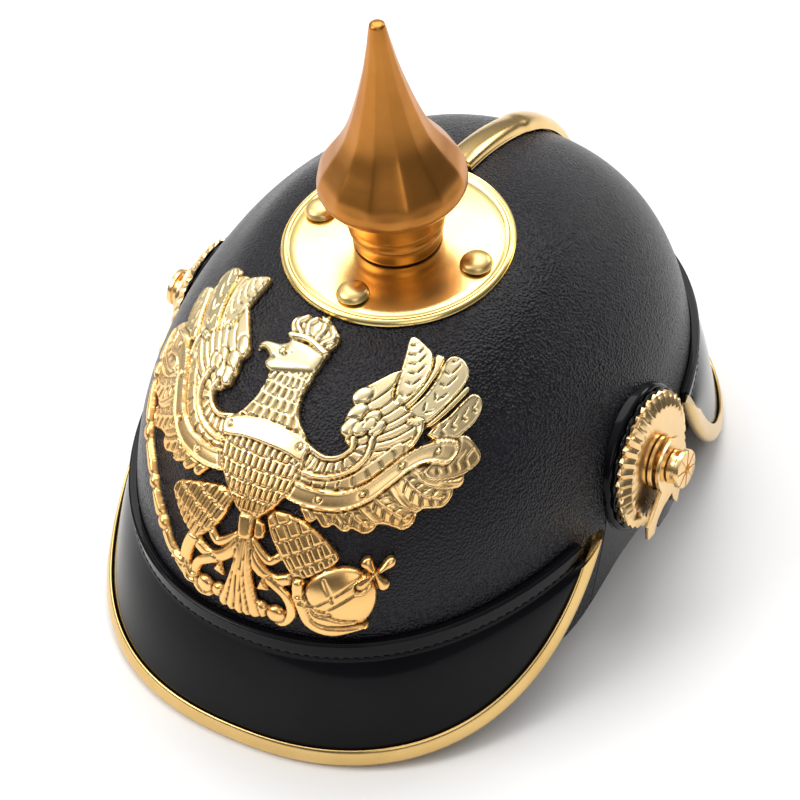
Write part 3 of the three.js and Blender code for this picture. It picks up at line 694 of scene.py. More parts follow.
# The side fittings are drawn flat, first axis forward and second up, height out from the skull.
# sideSeat stands them up.
fittingSeat = {"x": 90.6, "y": 6.5, "z": -72.8, "lean": 5.5}
rosette = {
    "radius": 24.7, "teeth": 36, "crown": 3.6, "rim": 0.65, "toothDepth": 1.6, "ribHeight": 1.15,
    "ribDrop": 0.5,
    "rings": (0, 8, 15, 18.4, 19.3, 19.9, 20.6, 21.4, 22.2, 23.0, 23.7, 24.2, 24.55, 24.7),
}
bossProfile = [
    (0, -14), (20, -14), (26.4, -14), (26.4, -8), (26.4, -3.6), (26.1, -2.7), (25.4, -2.15), (24.2, -1.95),
    (0, -1.95),
]
discProfile = [(0, -1.55), (25.2, -1.55), (25.5, -1.4), (25.5, -0.95), (25.2, -0.78), (0, -0.78)]
scallops = {"count": 20, "depth": 1.0, "outside": 20}
postProfile = [
    (0, 3.9), (9.7, 3.9), (10, 4.1), (10, 5.2), (9.7, 5.5), (9.2, 5.6), (4.2, 5.6), (4.2, 9.1), (5.9, 9.1),
    (6.2, 9.3),
    (6.2, 11.7), (6.5, 12.1), (7.0, 12.3), (7.0, 13.6), (6.8, 14.0), (6.4, 14.2), (0, 14.25),
]
knobTurns = (0.4, 1.19, 1.97, 2.76)
knobCuts = [{"size": (15, 0.7, 0.9), "at": (0, 0, 14.25), "turn": turn} for turn in knobTurns] + [
    {"size": (3.4, 3.4, 1.8), "at": (0, 0, 14.25), "turn": 0.4},
    {"size": (2.8, 3.6, 2.0), "at": (0.6, 6.0, 11.2), "turn": 0.0},
]
lug = {"low": 7.3, "thick": 1.5, "hole": 4.5, "ring": 10.4, "ringFrom": -114, "ringTo": -386}
lugLegs = [
    (11.4, -5.5), (16.8, -8.9), (21.0, -10.9), (21.8, -15.9), (17.6, -16.8), (14.2, -13.2), (9.5, -11.4),
    (2.6, -10.9), (2.4, -14.0), (0.4, -17.9), (-2.8, -14.2),
]
backing = {"low": 5.8, "thick": 1.2}
backingOutline = [(1.2, -8.4), (-1.0, -18.6), (3.6, -20.4), (11.6, -20.2), (13.2, -15.4), (12.0, -8.4)]


def sideSeat(side):
    lean = math.radians(fittingSeat["lean"])
    return Matrix(((0, -side * math.sin(lean), side * math.cos(lean), side * fittingSeat["x"]),
                   (side, 0, 0, fittingSeat["y"]),
                   (0, math.cos(lean), math.sin(lean), fittingSeat["z"]),
                   (0, 0, 0, 1)))


def skullSideX(y, z):
    drop = dropAt(np.full(z.shape, math.pi / 2), z)
    reach = np.sin(np.minimum(drop, math.pi / 2)) ** (2 / skull["sideFullness"])
    length = np.where(y < skull["centreY"], skull["frontLength"], skull["backLength"]) * reach
    full = skull["planFullness"]
    return skull["halfWidth"] * reach * (1 - np.abs((y - skull["centreY"]) / length) ** full) ** (1 / full)


def makeBoss(side, label):
    piece = turnedPiece(f"sideBoss.{label}", bossProfile, 96)
    deep = readPoints(piece)[:, 2] < -10  # the back follows the skull
    points = seated(readPoints(piece), sideSeat(side))
    points[deep, 0] = side * (skullSideX(points[deep, 1], points[deep, 2]) + gap)
    writePoints(piece, onStand(points))
    return dressed(piece, patent, [f"side_boss_{label}"], angle=50)


def makeUnderDisc(side, label):
    piece = turnedPiece(f"underDisc.{label}", discProfile, 200)
    points = readPoints(piece)
    turn, wide = polar(points)
    edge = wide > scallops["outside"]
    drawnIn(points, wide, scallops["depth"] * (1 - np.abs(np.cos(turn * scallops["count"] / 2))) * edge)
    writePoints(piece, points)
    settled(piece, sideSeat(side))
    return dressed(piece, patent, [f"under_disc_{label}"])


def makeRosette(side, label):
    radius, crown, rim = rosette["radius"], rosette["crown"], rosette["rim"]
    face = [(r, 0.3) for r in rosette["rings"][::-1]]
    profile = [(0, -0.45), (20, -0.45), (radius, -0.45), (radius, -0.1)] + face
    piece = turnedPiece(f"rosette.{label}", profile, rosette["teeth"] * 12)
    points = readPoints(piece)
    turn, wide = polar(points)
    top = points[:, 2] > 0.2
    dish = crown - 0.25 * blendStep(wide, 17.5, 19.4)
    dish = dish - (crown - rim) * np.clip((wide - 19.2) / 5.5, 0, 1) ** 1.15
    rib = np.abs((turn * rosette["teeth"] / math.tau) % 1 * 2 - 1) ** 0.8
    ribbed = blendStep(wide, 19.0, 20.2) * (rib * rosette["ribHeight"] - rosette["ribDrop"])
    points[:, 2] = np.where(top, dish + ribbed, points[:, 2])
    drawnIn(points, wide, rosette["toothDepth"] * (1 - rib) * blendStep(wide, 22.5, radius))
    writePoints(piece, points)
    settled(piece, sideSeat(side))
    return dressed(piece, fittingGilt, [f"rosette_{label}"])


def cutBox(size, at, turn):
    bpy.ops.object.select_all(action="DESELECT")
    bpy.ops.mesh.primitive_cube_add(size=1, location=(0, 0, 0))
    box = bpy.context.active_object
    writePoints(box, (readPoints(box) * size) @ np.array(Matrix.Rotation(turn, 3, "Z")).T + at)
    return box


def makePost(side, label):
    piece = turnedPiece(f"post.{label}", postProfile, 64)
    for cut in knobCuts:
        box = cutBox(**cut)
        modified(piece, "BOOLEAN", object=box, operation="DIFFERENCE", solver="EXACT")
        bpy.data.objects.remove(box)
    settled(piece, sideSeat(side))
    return dressed(piece, fittingGilt, [f"post_{label}"], angle=35)


def arc(radius, fromDegrees, toDegrees, count, closes=True):
    turns = np.radians(np.linspace(fromDegrees, toDegrees, count, endpoint=closes))
    return [(radius * math.cos(a), radius * math.sin(a)) for a in turns]


def cutPlate(name, loops, side, low, thick, edge=0.2):
    # a flat plate cut to closed outlines, with its edges eased
    line = bpy.data.curves.new(name, "CURVE")
    line.dimensions, line.fill_mode = "2D", "BOTH"
    line.extrude, line.bevel_depth, line.bevel_resolution = thick / 2 - edge, edge, 2
    line.offset = -edge
    for loop in loops:
        run = line.splines.new("POLY")
        run.points.add(len(loop) - 1)
        for point, (x, y) in zip(run.points, loop):
            point.co = (x, y, 0, 1)
        run.use_cyclic_u = True
    piece = bpy.data.objects.new(name, line)
    scene.collection.objects.link(piece)
    onlyThis(piece)
    bpy.ops.object.convert(target="MESH")
    merged(piece, 1e-3)
    writePoints(piece, readPoints(piece) + (0, 0, low + thick / 2))
    settled(piece, sideSeat(side))
    return tidyNormals(piece)


def makeLug(side, label):
    body = f"{label}_lug"
    ring = arc(lug["ring"], lug["ringFrom"], lug["ringTo"], 40)
    outline = [(-side * x, y) for x, y in lugLegs + ring]
    hole = arc(lug["hole"], 0, 360, 48, closes=False)
    plate = cutPlate(f"strapLug.{label}", [outline, hole], side, lug["low"], lug["thick"])
    dressed(plate, fittingGilt, [f"strap_lug_{label}"], body)
    outline = [(-side * x, y) for x, y in backingOutline]
    leatherPiece = cutPlate(f"lugBacking.{label}", [outline], side, backing["low"], backing["thick"])
    dressed(leatherPiece, leather, [f"lug_backing_{label}"], body)


print("side fittings")
for side, label in ((1, "left"), (-1, "right")):
    makeBoss(side, label)
    makeUnderDisc(side, label)
    makeRosette(side, label)
    makePost(side, label)
    makeLug(side, label)

# The eagle is a flat relief, u across and v up, stamped on a grid and then wrapped on the skull's front.
eagle = {
    "centreU": -2.6, "riseV": -2.8, "clearance": 0.45, "step": 0.45, "widest": 100, "turns": 401,
    "lowU": -84, "highU": 80, "lowV": 26, "highV": 148, "thinnest": 0.25, "cutAt": 0.32,
}
gridU = np.arange(eagle["lowU"], eagle["highU"] + 0.01, eagle["step"])
gridV = np.arange(eagle["lowV"], eagle["highV"] + 0.01, eagle["step"])
flatU, flatV = np.meshgrid(gridU, gridV, indexing="ij")
cast = {"height": np.zeros(flatU.shape), "outline": np.full(flatU.shape, 9.0)}


def groove(distance, width):
    return np.exp(-(distance / width) ** 2)


def every(pitch, along):
    # distance from the nearest of evenly spaced cuts
    return np.abs((along / pitch) % 1 - 0.5) * pitch


def rounded(distance, edge):
    return (1 - (1 + np.minimum(distance, 0) / edge).clip(0, 1) ** 2) ** 0.5


def stamp(distance, height, depth=0.5, reach=0.75):
    # the new form hides what lies below it and leaves a fine groove round itself
    ring = (distance > 0) & (distance < reach)
    below = np.where(ring, cast["height"] - depth * (1 - distance / reach), cast["height"])
    cast["height"] = np.where(distance <= 0, np.maximum(height, eagle["thinnest"]), below)
    cast["outline"] = np.minimum(cast["outline"], distance)


def alongLine(points):
    # how far along a bent line each grid point lies, and how far to its side
    line = curved(points, 8)
    run = np.diff(line, axis=0)
    length = np.linalg.norm(run, axis=1)
    start = np.concatenate([[0], np.cumsum(length)])
    nearest = np.full(flatU.shape, 1e9)
    along, aside = np.zeros(flatU.shape), np.zeros(flatU.shape)
    for (pu, pv), (du, dv), size, begin in zip(line, run, length, start):
        du, dv = du / size, dv / size
        held = np.clip((flatU - pu) * du + (flatV - pv) * dv, 0, size)
        away = np.hypot(flatU - pu - held * du, flatV - pv - held * dv)
        closer = away < nearest
        nearest = np.where(closer, away, nearest)
        along = np.where(closer, begin + held, along)
        aside = np.where(closer, np.sign(du * (flatV - pv) - dv * (flatU - pu)) * away, aside)
    return along, aside, nearest, start[-1]


def engrave(points, width, depth):
    nearest = alongLine(points)[2]
    cast["height"] = cast["height"] - depth * groove(nearest, width) * (cast["outline"] < -0.2)


def strokes(axis, pitch, half, slant=0.8, depth=0.75):
    # pairs of short cuts that meet on a feather's middle line
    along, aside, _, length = alongLine(axis)
    away = np.abs(aside)
    kept = blendStep(away, 0.2, 0.5) * (1 - blendStep(away, half * 0.72, half * 0.85))
    kept = kept * (along > pitch * 0.6) * (along < length)
    return depth * groove(every(pitch, along - away * slant), 0.34) * kept


def shingles(top, height, width, lean, fan, relief):
    # courses of small oblong feathers, each lapping over the next
    turn = math.radians(lean)
    down = (top[1] - flatV) * math.cos(turn) + (flatU - top[0]) * math.sin(turn)
    across = (flatU - top[0]) * math.cos(turn) - (top[1] - flatV) * math.sin(turn)
    course = down / height
    column = across / (1 + fan * down) / width + 0.5 * (np.floor(course) % 2)
    lap = course % 1
    joint = (0.5 - np.abs(column % 1 - 0.5)) * width
    cut = np.maximum(groove(joint, 0.42) * (lap > 0.12), groove((1 - lap) * height, 0.42))
    return (0.5 * lap - 0.85 * cut) * relief


def blade(points, width, low, high, shape, edge=0.9, quill=0.0, cuts=0.0):
    # a leaf along a line: shape gives its width at each part of the way
    along, aside, nearest, length = alongLine(points)
    distance = nearest - width / 2 * np.interp(along / length, *zip(*shape))
    height = low + (high - low) * rounded(distance, edge) + quill * groove(aside, 0.5) * (distance < -0.6)
    if cuts:
        away = np.abs(aside)
        cut = groove(every(cuts, along - away * 0.9), 0.42) * (away > 0.4)
        height = height - 0.6 * cut * blendStep(-distance, 0.6, 1.1)
    stamp(distance, height)


def band(points, width, low, high, edge=0.9, rails=0.0, rungs=0.0, dome=0.0):
    along, aside, nearest, length = alongLine(points)
    distance = nearest - width / 2
    height = low + (high - low) * rounded(distance, edge) + dome * (1 - (aside / (width / 2)) ** 2)
    if rails:
        height = height + rails * groove(np.abs(aside) - width / 2 + 0.8, 0.45)
    if rungs:
        height = height - 0.7 * groove(every(rungs, along), 0.32) * (np.abs(aside) < width / 2 - 1.2)
    stamp(distance, height)


def ball(at, radius, low, high):
    away = np.hypot(flatU - at[0], flatV - at[1])
    stamp(away - radius, low + (high - low) * np.sqrt(np.clip(1 - (away / radius) ** 2, 0, 1)))


def patchDistance(points):
    # negative inside a closed outline
    p = np.asarray(points, float)
    distance, inside = np.full(flatU.shape, 1e9), np.zeros(flatU.shape, bool)
    for (au, av), (bu, bv) in zip(p, np.roll(p, -1, axis=0)):
        du, dv = bu - au, bv - av
        t = np.clip(((flatU - au) * du + (flatV - av) * dv) / (du * du + dv * dv), 0, 1)
        distance = np.minimum(distance, np.hypot(flatU - au - t * du, flatV - av - t * dv))
        crosses = (av > flatV) != (bv > flatV)
        inside ^= crosses & (flatU < (bu - au) * (flatV - av) / (bv - av + 1e-12) + au)
    return np.where(inside, -distance, distance)


def patch(points, low, high, edge=0.8, smooth=4, rim=0.0, rows=None, cuts=None):
    distance = patchDistance(curved(points + points[:1], smooth)[:-1] if smooth else points)
    height = low + (high - low) * rounded(distance, edge) + rim * groove(distance + 0.8, 0.45)
    if cuts:
        height = height - strokes(**cuts) * blendStep(-distance, 0.9, 1.4)
    if rows:
        height = height + shingles(**rows) * blendStep(-distance, 0.5, 1.0)
    stamp(distance, height)


def mirrored(points, side, middle=0.0):
    return [(middle + u * side, v) for u, v in points]


# One wing, drawn for the wearer's left and mirrored for the right.
grandFeathers = [
    {"edge": [(51.9, 101.7), (57.1, 98.4), (62.1, 96.4), (69.8, 98.0), (72.7, 100.6), (72.7, 103.7),
              (70.3, 106.9),
              (66.1, 109.5), (62.4, 108.2), (58.6, 105.4), (54.4, 104.0)],
     "axis": [(52, 101.4), (61, 101.6), (70.2, 104.0)], "pitch": 3.7, "half": 2.7},
    {"edge": [(41.2, 112.3), (45, 108.8), (49.6, 106.0), (52.6, 106.6), (57, 110.2), (60.8, 114.0),
              (61.2, 118.2),
              (57.4, 123.6), (52.4, 128.0), (48.6, 129.2), (47.4, 126.6), (47.2, 121.4), (45.2, 116.2)],
     "axis": [(46.4, 108.2), (52.2, 115.4), (52.4, 126.4)], "pitch": 4.3, "half": 3.7},
    {"edge": [(33.6, 122.3), (35.0, 117.6), (38.0, 114.6), (41.4, 117.2), (43.6, 121.4), (43.6, 127.4),
              (41.2, 132.8),
              (36.6, 137.4), (31.4, 141.4), (29.6, 140.4), (30.8, 135.0), (32.2, 128.6)],
     "axis": [(38.4, 115.2), (38.6, 126), (33.2, 138.6)], "pitch": 4.2, "half": 3.2},
]
slimFeathers = [
    [(50.2, 105.2), (52.6, 103.9), (57.4, 106.2), (61.6, 109.0), (64.2, 111.2), (62.2, 113.6),
     (58.4, 110.9), (54.4, 108.3)],
    [(38.6, 114.2), (41.6, 113.2), (44.6, 117.0), (46.4, 121.8), (47.4, 127.2), (46.2, 130.4), (42.4, 132.2),
     (43.9, 126.6), (42.6, 120.0)],
]
lowerFeathers = [
    {"line": [(17.0, 86), (20.6, 81.2), (22.4, 78.4)], "width": 5.0},
    {"line": [(21.6, 86), (25.6, 80.6), (28.0, 77.4)], "width": 5.6},
    {"line": [(26, 85), (31.0, 79.6), (34.4, 76.6)], "width": 6.2},
    {"line": [(31, 84), (37.4, 78.8), (41.4, 76.2)], "width": 7.6},
    {"line": [(37, 84), (42.8, 79.6), (47.6, 77.4)], "width": 5.6},
    {"line": [(40, 85.4), (48.4, 79.6), (54.0, 76.0)], "width": 8.4},
    {"line": [(46, 88), (52.6, 82.6), (57.8, 79.6)], "width": 5.6},
    {"line": [(49, 90), (57.4, 83.0), (65.6, 79.8)], "width": 8.4},
    {"line": [(52, 92), (62, 85.6), (70.6, 82.4)], "width": 4.6},
]
tipFeather = {
    "edge": [(55, 89.6), (58.5, 86.6), (65.8, 84.6), (71.8, 84.0), (76, 85.0), (77.6, 87.4), (74.6, 91.4),
             (69.6, 96.0),
             (64.6, 97.6), (58.5, 93.4)],
    "axis": [(58, 90.6), (66, 89.4), (74, 88.4)], "pitch": 3.6, "half": 3.4,
}
coverts = {
    "edge": [(33.0, 128.6), (30.4, 128.2), (26.2, 125.3), (23.0, 122.8), (20.8, 120.6), (20.8, 118.4),
             (22.6, 115.4),
             (21.5, 112.2), (22.8, 107.6), (25.2, 103.2), (28.6, 100.0), (31, 93), (40, 93.4), (48.6, 98.6),
             (49.4, 103.4),
             (45.8, 108.4), (41.8, 112.6), (38.4, 115.4), (34.8, 118.2), (33.4, 122.4)],
    "cuts": [
        [(25.9, 116.2), (29.3, 118.7), (33.0, 122.8)], [(27.2, 113.4), (32.0, 114.8), (35.6, 118.2)],
        [(31.6, 110.6), (35.6, 112.6), (38.8, 115.2)], [(35.0, 108.2), (38.6, 109.6), (42.4, 111.8)],
        [(35.8, 105.6), (40.0, 106.8), (44.6, 109.0)], [(36.0, 102.8), (41, 103.6), (46.0, 105.6)],
        [(36.4, 99.9), (41.2, 100.2), (46.8, 101.9)], [(36.6, 97.2), (41.0, 96.8), (45.4, 98.0)],
        [(25.2, 103.8), (28.4, 105.2), (30.4, 104.6)],
    ],
}
wingBands = [
    {"line": [(44.3, 108.2), (48.2, 106.6), (49.6, 103.2), (48.4, 99.8)], "width": 2.3, "low": 1.9,
     "high": 2.9, "edge": 1.1},
    {"line": [(13.0, 89.2), (20.5, 88.2), (28, 88.9), (34.4, 91.6), (39.4, 95.4), (43.4, 98.6)],
     "width": 5.6, "low": 1.5, "high": 2.1, "rungs": 4.4},
    {"line": [(13.0, 97.0), (18.0, 95.4), (24.0, 95.0), (29.0, 96.8), (31.2, 101.0), (30.4, 104.6)],
     "width": 6.2, "low": 1.3, "high": 1.8, "rungs": 2.7, "edge": 0.6},
    {"line": [(13.2, 101.2), (17.0, 99.2), (21.4, 97.8), (25.6, 98.6), (28.2, 101.6), (27.4, 104.6)],
     "width": 2.0, "low": 2.1, "high": 2.9, "edge": 1.0},
    {"line": [(13.6, 92.6), (20.6, 91.4), (27.4, 92.4), (32.0, 95.2), (34.2, 99.6), (33.6, 104.6)],
     "width": 2.0, "low": 2.1, "high": 2.9, "edge": 1.0},
]
wingRibbon = {
    "line": [(12.6, 86.2), (17.5, 85.0), (25.5, 84.2), (32.2, 84.5), (38.6, 87.0), (43.6, 91.0),
             (48.4, 94.4), (53.6, 95.8),
             (58.8, 95.0), (63.4, 93.2)],
    "width": 7.0, "low": 1.8, "high": 2.4, "rails": 0.75, "dome": 0.3,
}
wingBalls = [
    {"at": (24.0, 119.4), "radius": 3.4, "low": 1.7, "high": 3.1}, {"at": (25.0, 113.4), "radius": 3.3,
                                                                    "low": 1.7, "high": 3.1},
    {"at": (24.8, 108.2), "radius": 3.2, "low": 1.7, "high": 3.1},
]
trefoil = [
    {"at": (30.6, 111.4), "radius": 2.6, "low": 2.4, "high": 3.1}, {"at": (28.7, 107.8), "radius": 2.6,
                                                                    "low": 2.4, "high": 3.1},
    {"at": (33.6, 107.6), "radius": 2.6, "low": 2.4, "high": 3.1}, {"at": (31.0, 108.9), "radius": 1.9,
                                                                    "low": 3.0, "high": 3.2},
]


def layBands(rows, side=1, middle=0.0):
    for row in rows:
        settings = dict(row)
        band(mirrored(settings.pop("line"), side, middle), **settings)


def layBalls(rows, side=1):
    for row in rows:
        settings = dict(row)
        u, v = settings.pop("at")
        ball((u * side, v), **settings)


def cutsOn(feather, side):
    return {"axis": mirrored(feather["axis"], side), "pitch": feather["pitch"], "half": feather["half"]}


def makeWing(side):
    for row in lowerFeathers:
        blade(mirrored(row["line"], side), row["width"], low=0.9, high=1.6, quill=0.45,
              shape=((0, 0.8), (0.6, 1), (1, 0.86)), cuts=4.2 if row["width"] > 6 else 0)
    patch(mirrored(tipFeather["edge"], side), low=0.9, high=1.7, edge=0.9, rim=0.25,
          cuts={**cutsOn(tipFeather, side), "slant": 0.9, "depth": 0.6})
    for edge in slimFeathers:
        patch(mirrored(edge, side), low=1.0, high=1.5, smooth=3)
    for feather in grandFeathers:
        patch(mirrored(feather["edge"], side), low=1.2, high=2.0, edge=1.0, rim=0.22, cuts=cutsOn(feather,
                                                                                                  side))
    patch(mirrored(coverts["edge"], side), low=1.3, high=2.1, edge=1.1, smooth=3)
    for line in coverts["cuts"]:
        engrave(mirrored(line, side), width=0.42, depth=0.85)
    layBalls(wingBalls, side)
    layBands(wingBands, side)
    layBands([wingRibbon], side)
    rivets = curved(wingRibbon["line"], 8)
    for part in (0.2, 0.42, 0.64, 0.9):
        u, v = rivets[int(part * (len(rivets) - 1))]
        ball((u * side, v), radius=0.8, low=2.7, high=3.4)
    layBalls(trefoil, side)


# One side of the bow, mirrored about its own middle, and the tail's five feathers.
bowBands = [
    {"line": [(0, 67), (4.5, 63.0), (8.5, 60.6), (11.5, 62.8)], "width": 3.4, "low": 0.9, "high": 2.0,
     "edge": 1.7},
    {"line": [(0, 63.5), (4.6, 57.6), (10.4, 54.4), (16.4, 56.0)], "width": 4.6, "low": 0.9, "high": 2.3,
     "edge": 2.0},
    {"line": [(9.5, 53.6), (15.6, 49.0), (17.6, 42.6), (15.0, 38.4), (11.2, 39.0)],
     "width": 3.8, "low": 0.8, "high": 1.9, "edge": 1.8},
]
bowBarb = [(6.4, 54.5), (4.6, 48.6), (9.6, 49.6)]
bowBalls = [
    {"at": (-11.8, 41.8), "radius": 3.4, "low": 0.7, "high": 2.6}, {"at": (-5.9, 42.2), "radius": 3.0,
                                                                    "low": 0.7, "high": 2.6},
    {"at": (10.1, 41.2), "radius": 3.4, "low": 0.7, "high": 2.6}, {"at": (15.6, 41.0), "radius": 3.4,
                                                                   "low": 0.7, "high": 2.6},
]
tailFeathers = [
    {"foot": 1.2, "tip": -3.6}, {"foot": 1.6, "tip": -0.6}, {"foot": 2.2, "tip": 2.4},
    {"foot": 2.8, "tip": 5.4}, {"foot": 3.4, "tip": 8.0},
]


def makeTail():
    for side, middle in ((-1, 0.6), (1, 3.4)):
        layBands(bowBands, side, middle)
        patch(mirrored(bowBarb, side, middle), low=0.8, high=1.5, smooth=0)
    layBalls(bowBalls)
    for row in tailFeathers:
        foot, tip = row["foot"], row["tip"]
        line = [(foot, 68), (foot + (tip - foot) * 0.35, 52), (tip, 38.6 + abs(tip - 2) * 0.12)]
        blade(line, width=4.6, low=0.9, high=2.2, edge=1.8, quill=0.3, shape=((0, 0.45), (0.5, 0.7), (1, 1)))


shins = [
    {"line": [(-17, 60), (-20.4, 52), (-21.6, 44.5)], "width": 5.0, "low": 0.9, "high": 2.1, "edge": 1.8},
    {"line": [(22, 58), (23.6, 52), (25.4, 48.6)], "width": 4.6, "low": 0.9, "high": 2.1, "edge": 1.8},
]
thighs = [
    {"edge": [(-30.6, 66.1), (-30.0, 70.0), (-25.7, 73.2), (-14.0, 78.3), (-8.0, 79.0), (-5.3, 75.7),
              (-7.7, 68.0),
              (-11.5, 62.4), (-16.4, 57.8), (-21.6, 59.0), (-26.2, 62.0)],
     "rows": {"top": (-17.5, 80), "height": 5.4, "width": 3.0, "lean": -14, "fan": -0.012, "relief": 1.2}},
    {"edge": [(8.1, 75.1), (11.0, 78.4), (18.5, 77.6), (25.9, 74.1), (32.4, 68.6), (35.0, 64.6), (28.8, 59.3),
              (21.8, 56.6), (15.8, 62.6), (10.7, 69.6)],
     "rows": {"top": (22.0, 79), "height": 5.4, "width": 4.2, "lean": 30, "fan": -0.012, "relief": 1.2}},
]
breast = {
    "edge": [(-15.4, 97.4), (-13.6, 86.6), (-9.6, 81.0), (-3.6, 75.0), (0.6, 72.2), (3.8, 72.2), (8.4, 76.6),
             (12.6, 82.4), (14.3, 88), (14.6, 99), (4, 101)],
    "rows": {"top": (0.5, 97.6), "height": 4.6, "width": 2.5, "lean": 3, "fan": -0.012, "relief": 1.2},
}
throat = {
    "edge": [(-15.8, 100.0), (-12.6, 104.2), (-10.2, 110.4), (-9.6, 116.0), (-9.0, 121.4), (4.8, 125),
             (5.2, 116.0),
             (7.6, 108.6), (13.0, 102.0), (2.0, 104.0)],
    "rows": {"top": (-2.4, 121), "height": 4.3, "width": 2.0, "lean": 3, "fan": 0.04, "relief": 1.0},
}


def makeBody():
    layBands(shins)
    for thigh in thighs:
        patch(thigh["edge"], low=0.8, high=1.9, edge=1.0, rows=thigh["rows"])
    patch(breast["edge"], low=1.1, high=2.3, edge=1.0, rows=breast["rows"])
    patch(throat["edge"], low=1.1, high=2.2, edge=0.9, rows=throat["rows"])


head = {
    "edge": [(-18.4, 121.6), (-18.3, 124.4), (-16.8, 126.8), (-14.0, 128.0), (-11.0, 129.0), (-8.6, 130.8),
             (-7.6, 133.0),
             (4.6, 132.6), (6.2, 129.4), (6.0, 126.4), (5.2, 124.2), (-0.4, 122.4), (-6.4, 120.2),
             (-10.6, 118.8),
             (-13.4, 120.4), (-12.8, 122.2), (-14.0, 123.6), (-16.8, 123.8)],
    "mouth": [(-15.6, 124.2), (-12.6, 123.2), (-10.2, 123.4)],
    "brow": [(-10.6, 128.2), (-8.2, 128.8), (-5.2, 127.8)],
    "eye": (-8.1, 126.7),
}
crown = {
    "edge": [(-9.6, 133.6), (-11.6, 136.6), (-10.2, 140.2), (-6.4, 142.2), (-1.0, 143.2), (3.8, 142.2),
             (7.2, 139.6),
             (7.4, 135.8), (5.2, 132.8), (-2, 134.2)],
    "ribs": [
        [(-4.4, 134.6), (-8.6, 137.6), (-6.2, 141.4)], [(-2.8, 135.0), (-4.6, 139), (-2.8, 142.2)],
        [(0.2, 135.2), (1.2, 139), (0.4, 142.4)], [(3.0, 134.6), (5.6, 137.6), (3.6, 141.4)],
    ],
    "hoop": [(-8.8, 133.0), (-2, 134.4), (5.8, 132.0)],
    "cross": [(-2.2, 142.6), (-3.0, 144.6), (-0.8, 144.2), (-0.2, 146.0), (1.0, 144.0), (2.4, 143.6),
              (0.8, 142.0)],
}


def makeHead():
    patch(head["edge"], low=1.2, high=3.0, edge=3.6, smooth=3)
    engrave(head["mouth"], width=0.5, depth=0.7)
    engrave(head["brow"], width=0.45, depth=0.5)
    ball(head["eye"], radius=1.4, low=2.7, high=3.7)
    patch(crown["edge"], low=1.1, high=2.6, edge=1.8)
    for rib in crown["ribs"]:
        band(rib, width=2.2, low=2.2, high=3.2, edge=1.1)
    band(crown["hoop"], width=2.6, low=1.8, high=3.3, edge=1.2)
    patch(crown["cross"], low=1.2, high=2.3, smooth=0)


scroll = {
    "edge": [(-16.9, 98.7), (-12.8, 101.6), (-8.7, 103.1), (-3.4, 104.4), (1.8, 104.6), (7.0, 104.0),
             (11.7, 102.8),
             (14.6, 101.0), (15.0, 98.0), (14.1, 94.9), (9.6, 96.2), (5.2, 96.8), (-0.4, 97.0),
             (-5.6, 96.6), (-10.6, 95.4),
             (-15.5, 93.7), (-17.0, 96.0)],
    "pins": [(-14.4, 97.6), (12.2, 99.6)],
}
knot = {
    "tie": [(-1.4, 73.6), (3.4, 74.2), (4.4, 70), (3.8, 66.2), (0.2, 65.8), (-0.9, 69)],
    "loop": [(4.6, 73.6), (8.2, 72.6), (8.8, 67.8), (5.0, 67.2)],
}


def makeScroll():
    # plain, with nothing written on it
    patch(scroll["edge"], low=1.9, high=2.9, smooth=2)
    for pin in scroll["pins"]:
        ball(pin, radius=0.8, low=2.9, high=3.4)
    patch(knot["tie"], low=1.6, high=2.9, edge=1.2, smooth=2)
    patch(knot["loop"], low=1.0, high=2.1, edge=1.2, smooth=2)


orb = {
    "at": (36.4, 50.0), "radius": 12.4,
    "band": [(28.6, 46.4), (36.0, 51.8), (44.8, 58.6)],
    "line": [(31.0, 58.0), (33.4, 53.6), (34.6, 51.0)],
    "cross": (47.2, 59.2), "arms": (38, 128, 218, 308),
    "claws": [
        [(22.8, 55.6), (23.6, 49.4), (28.0, 46.4), (34.0, 45.6)], [(24.0, 50.0), (28.0, 44.6), (35.4, 42.6),
                                                                   (42.0, 42.4)],
        [(24.4, 48.0), (27.6, 41.6), (34.6, 38.8), (46.2, 40.6)],
    ],
}


def makeOrb():
    ball(orb["at"], orb["radius"], low=0.9, high=4.2)
    band(orb["band"], width=3.0, low=3.2, high=3.9, edge=0.7)
    engrave(orb["line"], width=0.5, depth=0.6)
    for degrees in orb["arms"]:
        du, dv = math.cos(math.radians(degrees)), math.sin(math.radians(degrees))
        line = [(orb["cross"][0] + du * out, orb["cross"][1] + dv * out) for out in (0, 3, 5.4)]
        blade(line, width=4.4, low=1.5, high=2.5, quill=0.4, shape=((0, 0.3), (0.7, 0.75), (1, 0.95)))
    for claw in orb["claws"]:
        blade(claw, width=4.2, low=2.6, high=4.0, edge=1.8, shape=((0, 0.9), (0.6, 1), (1, 0.3)))


sceptre = {
    "foot": [(-19.6, 40.4), (-23.6, 43.6), (-29.4, 47.0), (-33.6, 51.6)],
    "lengths": [
        [(-33.6, 51.8), (-38.4, 55.8), (-43.0, 60.2)], [(-43.6, 60.8), (-50.0, 64.8), (-56.4, 67.8)],
        [(-57.2, 68.4), (-64.5, 73.2), (-70.4, 79)], [(-70.6, 79.4), (-73.6, 83.6), (-75.4, 88.6)],
    ],
    "knobs": [
        {"at": (-34.0, 52.2), "radius": 2.5, "low": 0.9, "high": 2.9}, {"at": (-43.4, 60.6), "radius": 2.3,
                                                                        "low": 0.9, "high": 2.9},
        {"at": (-56.8, 68.2), "radius": 2.8, "low": 0.9, "high": 2.9}, {"at": (-70.6, 79.2), "radius": 2.6,
                                                                        "low": 0.9, "high": 2.9},
    ],
    "claws": [
        [(-20.8, 45.4), (-17.8, 42.8), (-15.6, 43.6)], [(-21.6, 44.6), (-19.6, 40.6), (-16.4, 40.2)],
        [(-22.6, 45.0), (-25.6, 45.4), (-27.4, 43.6)],
    ],
}


